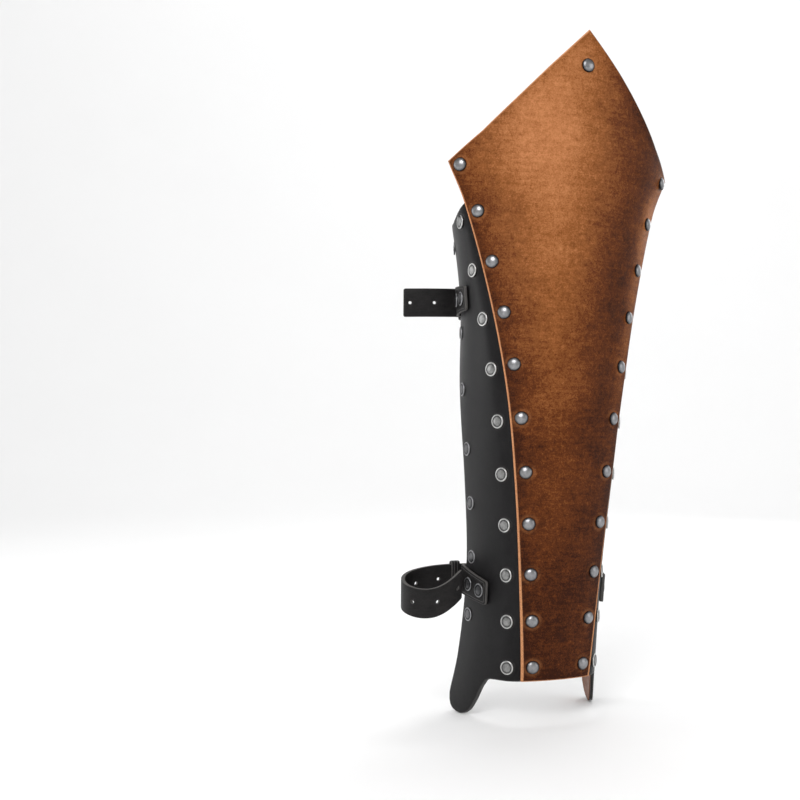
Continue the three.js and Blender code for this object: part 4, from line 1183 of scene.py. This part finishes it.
class GREAVE_OT_straps(bpy.types.Operator):
    """Makes both punched straps, from their roots to their free ends"""
    bl_idname = "greave.straps"
    bl_label = "Straps"

    def execute(self, context):
        sizes = context.scene.greave_sizes
        radius = sizes.hole / MM
        half = STRAP_WIDTH / 2
        for name in SYSTEMS:
            knots, free = strap_knots(name)
            place, along, line = band_place(knots, False)
            length = along[-1]
            outline = rounded_corners([(0, -half), (length, -half), (length, half), (0, half)], 1.6)
            holes = [
                circle((length - at, 0), radius)
                for at in np.arange(END_MARGIN, free, HOLE_PITCH)
            ]
            middle = line[:, 1]
            off_prong = np.abs(middle[:, 0] - (BAR_X + PRONG_CROSSES)) + 1e3 * (middle[:, 1] < BACK_LINE)
            crossing_at = float(along[np.argmin(off_prong)])
            holes = [h for h in holes if abs(h[:, 0].mean() - crossing_at) > SLOT_CLEAR]
            reach, width = STRAP_SLOT
            holes.append(slot_outline(crossing_at - reach, crossing_at + reach, width, 1.8))
            edge = sizes.strap_edge

            def rubbed(points, knots=knots, place=place):
                x, y = points[:, 0], points[:, 1]
                bend = np.exp(-((x - 49) / 9) ** 2) * (y > 30)
                buckle = np.exp(-((x + 26) / 16) ** 2) * (y > 40)
                return {"rubbed": np.clip(bend + buckle * 0.7, 0, 1), "creased": np.zeros(len(points))}

            sheet_piece(
                f"{name}_strap_leather", outline, holes, place, -STRAP_THICK / 2, STRAP_THICK, edge,
                "strap_leather", [f"{name}_strap"], step=STRAP_STEP, extra=rubbed,
            )
        return {"FINISHED"}


def creased_only(points):
    """Values of strap leather that has creased borders and isn't rubbed."""
    return {"rubbed": np.zeros(len(points)), "creased": np.ones(len(points))}


class GREAVE_OT_chapes(bpy.types.Operator):
    """Makes the tabs that hold the buckles, each with its eye round the bar"""
    bl_idname = "greave.chapes"
    bl_label = "Chapes"

    def execute(self, context):
        half = STRAP_WIDTH / 2
        for name in SYSTEMS:
            place, along, _ = band_place(chape_knots(name), True)
            length = along[-1]
            outline = rounded_corners([(-length, -half), (0, -half), (0, half), (-length, half)], 2.2)
            eye = -length + 2 * math.pi * -CHAPE_LINE * 300 / 360
            slot = slot_outline(eye - CHAPE_SLOT, eye + 0.5, PRONG_EYE_WIDTH / 2 + GAP, 1.5)
            sheet_piece(
                f"{name}_chape_leather", outline, [slot], place, -CHAPE_THICK / 2, CHAPE_THICK,
                context.scene.greave_sizes.strap_edge, "strap_leather", [f"{name}_chape"],
                step=CHAPE_STEP, extra=creased_only,
            )
        return {"FINISHED"}


def band_profile():
    """The buckle band's cross-section: two rounded rims with a shallow channel between them."""
    half, thick = FRAME_BAND / 2, FRAME_THICK / 2
    return np.array([
        (-half, 0), (-half + 0.15, thick * 0.6), (-half + 0.55, thick * 0.98),
        (-half + 1.05, thick * 0.96), (-half + 1.45, thick * 0.66), (0, thick * 0.6),
        (half - 1.45, thick * 0.66), (half - 1.05, thick * 0.96), (half - 0.55, thick * 0.98),
        (half - 0.15, thick * 0.6), (half, 0), (half - 0.2, -thick * 0.7),
        (half - 0.8, -thick), (-half + 0.8, -thick), (-half + 0.2, -thick * 0.7),
    ])[::-1]


class GREAVE_OT_buckles(bpy.types.Operator):
    """Makes both buckles: a horseshoe frame with a bar, and a prong"""
    bl_idname = "greave.buckles"
    bl_label = "Buckles"

    def execute(self, context):
        metal = finish_of("antique_silver")
        up = np.array([0.0, 1.0, 0.0])
        for name in SYSTEMS:
            bar = buckle_of(name)[3]
            radius = (FRAME_HEIGHT - FRAME_BAND) / 2
            shoulder = FRAME_REACH - FRAME_HEIGHT / 2
            flat = [(x, -radius, 0, -1) for x in np.linspace(-2.6, shoulder, 8)]
            flat += [
                (shoulder + radius * math.cos(a), radius * math.sin(a), math.cos(a), math.sin(a))
                for a in np.linspace(-math.pi / 2, math.pi / 2, 41)[1:-1]
            ]
            flat += [(x, radius, 0, 1) for x in np.linspace(shoulder, -2.6, 8)]
            centres = [bar + np.array([x, 0, z]) for x, z, _, _ in flat]
            outs = [np.array([x, 0.0, z]) for _, _, x, z in flat]
            points, faces = sweep(centres, outs, [up] * len(centres), band_profile())
            profile = band_profile()
            # Painted shade with patina: darker in the channel between the frame's rims
            channel = np.where((np.abs(profile[:, 0]) < 1.7) & (profile[:, 1] > 0), 0.8, 0.05)
            parts = [(points, faces, {"hollow": np.tile(channel, len(centres))})]
            ring = np.linspace(0, 2 * math.pi, 16, endpoint=False)
            rod = np.stack([np.cos(ring), np.sin(ring)], -1) * BAR_RADIUS
            heights = np.linspace(-radius, radius, 12)
            rod_centres = [bar + np.array([0, 0, z]) for z in heights]
            rod_points, rod_faces = sweep(rod_centres, [np.array([1.0, 0, 0])] * 12, [up] * 12, rod)
            parts.append((rod_points, rod_faces, {"hollow": np.full(len(rod_points), 0.3)}))
            points, faces, values = joined(parts)
            make_piece(
                f"{name}_buckle_frame_silver", points, faces, metal,
                [f"{name}_buckle_frame"], values,
            )
            self.prong(name, bar, metal, up)
        return {"FINISHED"}

    def prong(self, name, bar, metal, up):
        tip = FRAME_REACH - 1
        knots = np.array([
            (1.6, -PRONG_EYE_OUTER * 0.4, 1.0), (2.6, 0.6, 1.0), (6, 1.25, 0.98), (13, 2.0, 0.92),
            (tip * 0.75, PRONG_RESTS, 0.84), (tip - 3, PRONG_RESTS, 0.7),
            (tip - 0.6, PRONG_RESTS - 0.1, 0.5), (tip, PRONG_RESTS - 0.15, 0.25),
        ])
        line = smooth_line(knots, 40)
        ring = np.linspace(0, 2 * math.pi, 14, endpoint=False)
        oval = np.stack([
            np.sign(np.cos(ring)) * np.abs(np.cos(ring)) ** 0.8 * PRONG_WIDTH / 2,
            np.sign(np.sin(ring)) * np.abs(np.sin(ring)) ** 0.8 * PRONG_THICK / 2,
        ], -1)
        profiles = np.array([oval * (share, min(1, 0.35 + share)) for share in line[:, 2]])
        centres = [bar + np.array([x, y, 0]) for x, y, _ in line]
        side = np.array([0.0, 0.0, 1.0])
        points, faces = sweep(centres, [side] * 40, [up] * 40, profiles)
        faces = [f[::-1] for f in faces]
        parts = [(points, faces, {"hollow": np.full(len(points), 0.1)})]
        turns = np.linspace(0, 2 * math.pi, 24, endpoint=False)
        wide = PRONG_EYE_WIDTH / 2
        middle = (PRONG_EYE_OUTER + PRONG_EYE_INNER) / 2
        thick = (PRONG_EYE_OUTER - PRONG_EYE_INNER) / 2
        oval = np.stack([
            np.sign(np.cos(ring)) * np.abs(np.cos(ring)) ** 0.6 * thick,
            np.sign(np.sin(ring)) * np.abs(np.sin(ring)) ** 0.6 * wide,
        ], -1)
        outs = [np.array([math.cos(t), math.sin(t), 0.0]) for t in turns]
        points, faces = sweep([bar + o * middle for o in outs], outs, [side] * 24, oval, closed=True)
        faces = [f[::-1] for f in faces]
        parts.append((points, faces, {"hollow": np.full(len(points), 0.25)}))
        points, faces, values = joined(parts)
        make_piece(
            f"{name}_buckle_prong_silver", points, faces, metal,
            [f"{name}_buckle_prong"], values,
        )


class GREAVE_OT_keepers(bpy.types.Operator):
    """Makes the leather loops that hold the strap ends"""
    bl_idname = "greave.keepers"
    bl_label = "Keepers"

    def execute(self, context):
        for name in SYSTEMS:
            system, _, _, bar, keeper_x = buckle_of(name)
            under_chape = CHAPE_LINE - CHAPE_THICK / 2 - 0.5
            low = (under_chape if system["both"] else STRAP_RESTS - STRAP_THICK / 2) - GAP
            high = STRAP_RESTS + STRAP_THICK / 2 + GAP
            half = STRAP_WIDTH / 2 + 2 * GAP
            middle = KEEPER_THICK / 2
            path = rounded_corners([
                (low - middle, -half - middle), (high + middle, -half - middle),
                (high + middle, half + middle), (low - middle, half + middle),
            ], 1.9, 6)
            path = spread(path, 1.2)
            ways = outward(path)
            centres = [bar * (0, 1, 1) + np.array([keeper_x, y, z]) for y, z in path]
            outs = [np.array([0.0, y, z]) for y, z in ways / np.linalg.norm(ways, axis=1)[:, None]]
            side = np.array([1.0, 0.0, 0.0])
            ring = np.linspace(0, 2 * math.pi, 20, endpoint=False)
            oval = np.stack([
                np.sign(np.cos(ring)) * np.abs(np.cos(ring)) ** 0.5 * KEEPER_THICK / 2,
                np.sign(np.sin(ring)) * np.abs(np.sin(ring)) ** 0.35 * KEEPER_WIDTH / 2,
            ], -1)
            points, faces = sweep(centres, outs, [side] * len(centres), oval, closed=True)
            across = np.tile(KEEPER_WIDTH / 2 - np.abs(oval[:, 1]), len(centres))
            make_piece(
                f"{name}_keeper_leather", points, faces, finish_of("strap_leather"),
                [f"{name}_keeper"], {"edge_mm": across, **creased_only(points)},
            )
        return {"FINISHED"}


class GREAVE_OT_stage(bpy.types.Operator):
    """Makes the floor, the soft lights and the camera"""
    bl_idname = "greave.stage"
    bl_label = "Stage"

    def execute(self, context):
        settings = context.scene.greave_stage
        finish = Finish("pale_floor", specular_ior_level=0.05)
        drift = (finish.noise(3, 2, 0.5) - 0.5) * 0.02 + 1.0
        sockets = {"Vector": tuple(settings.floor), "Scale": drift}
        shaded = finish.node("VectorMath", {"operation": "SCALE"}, sockets)
        finish.out(Base_Color=shaded["Vector"], Roughness=0.95)
        profile = [(0.02, 0.0), (1.0, 0.0)] + [
            (BOWL_FLAT + BOWL_CURVE * math.sin(a), BOWL_CURVE - BOWL_CURVE * math.cos(a))
            for a in np.linspace(0, math.pi / 2, 14)
        ] + [(BOWL_FLAT + BOWL_CURVE, 2.6)]
        sides = 72
        turns = np.linspace(0, 2 * math.pi, sides, endpoint=False)
        points = [
            (out * math.cos(turn), out * math.sin(turn), up - FLOOR_DROP)
            for out, up in profile
            for turn in turns
        ]
        faces = [tuple(range(sides))]
        for ring in range(len(profile) - 1):
            for k in range(sides):
                near, far, n = ring * sides, (ring + 1) * sides, (k + 1) % sides
                faces.append((far + k, far + n, near + n, near + k))
        mesh = bpy.data.meshes.new("floor")
        mesh.from_pydata([tuple(map(float, p)) for p in points], [], faces)
        mesh.polygons.foreach_set("use_smooth", [True] * len(faces))
        mesh.materials.append(finish.material)
        floor = bpy.data.objects.new("floor", mesh)
        context.scene.collection.objects.link(floor)

        spin = math.radians(CAMERA_TURN)
        away = np.array([-math.sin(spin), math.cos(spin)])
        target = Vector((0, 0, 0.22))
        lamps = [
            ("key", (-0.95, -1.25, 1.15), settings.key, 0.9, target),
            ("fill", (1.3, -1.3, 0.6), settings.key * 0.3, 1.3, target),
            ("left_rim", (-1.2, 0.75, 0.4), settings.rim, 0.8, target),
            ("right_rim", (1.2, 0.8, 0.7), settings.rim, 0.8, target),
            ("top", (0.1, 0.2, 1.8), settings.key * 0.45, 1.2, target),
            ("wall", (*(away * 1.5), 2.6), settings.wall, 1.6, Vector((*(away * 3.0), 0.5))),
        ]
        for name, place, power, size, aim in lamps:
            light = bpy.data.lights.new(name, "AREA")
            light.energy, light.size, light.shape = power, size, "DISK"
            lamp = bpy.data.objects.new(name, light)
            lamp.location = place
            lamp.rotation_mode = "QUATERNION"
            lamp.rotation_quaternion = (aim - Vector(place)).to_track_quat("-Z", "Y")
            context.scene.collection.objects.link(lamp)
        world = context.scene.world or bpy.data.worlds.new("studio")
        context.scene.world = world
        world.use_nodes = True
        background = world.node_tree.nodes["Background"]
        background.inputs["Color"].default_value = (1, 1, 1, 1)
        background.inputs["Strength"].default_value = settings.sky
        context.scene.view_settings.view_transform = "Standard"

        lens = bpy.data.cameras.new("camera")
        lens.sensor_width = 36
        lens.lens = 36 * CAMERA_FOCUS / PICTURE
        lens.shift_x = (PICTURE / 2 - CAMERA_ACROSS) / PICTURE
        lens.shift_y = (CAMERA_DOWN - PICTURE / 2) / PICTURE
        camera = bpy.data.objects.new("camera", lens)
        camera.location = Vector((0, 0, CAMERA_HEIGHT)) - Vector((*away, 0)) * CAMERA_AWAY
        camera.rotation_mode = "XYZ"
        camera.rotation_euler = (math.pi / 2, math.radians(CAMERA_ROLL), spin)
        context.scene.collection.objects.link(camera)
        context.scene.camera = camera
        return {"FINISHED"}


OPERATORS = (
    GREAVE_OT_plate, GREAVE_OT_liner, GREAVE_OT_side_panels, GREAVE_OT_studs, GREAVE_OT_straps,
    GREAVE_OT_chapes, GREAVE_OT_buckles, GREAVE_OT_keepers, GREAVE_OT_stage,
)


class GREAVE_PT_panel(bpy.types.Panel):
    """Lists the greave's pieces and settings"""
    bl_idname = "GREAVE_PT_panel"
    bl_label = "Leather greave"
    bl_space_type = "VIEW_3D"
    bl_region_type = "UI"
    bl_category = "Greave"

    def draw(self, context):
        for operator in OPERATORS:
            self.layout.operator(operator.bl_idname)
        scene = context.scene
        for settings in (scene.greave_sizes, scene.greave_colours, scene.greave_stage):
            for key in settings.__annotations__:
                self.layout.prop(settings, key)


CLASSES = (GreaveColours, GreaveSizes, GreaveStage, *OPERATORS, GREAVE_PT_panel)


def register():
    """Adds the classes and their settings."""
    for made in CLASSES:
        bpy.utils.register_class(made)
    bpy.types.Scene.greave_colours = PointerProperty(type=GreaveColours)
    bpy.types.Scene.greave_sizes = PointerProperty(type=GreaveSizes)
    bpy.types.Scene.greave_stage = PointerProperty(type=GreaveStage)


def unregister():
    """Takes the classes and their settings away."""
    del bpy.types.Scene.greave_colours
    del bpy.types.Scene.greave_sizes
    del bpy.types.Scene.greave_stage
    for made in reversed(CLASSES):
        bpy.utils.unregister_class(made)


def main():
    """Makes every piece and the stage."""
    register()
    for operator in OPERATORS:
        group, name = operator.bl_idname.split(".")
        getattr(getattr(bpy.ops, group), name)()


if __name__ == "__main__":
    main()
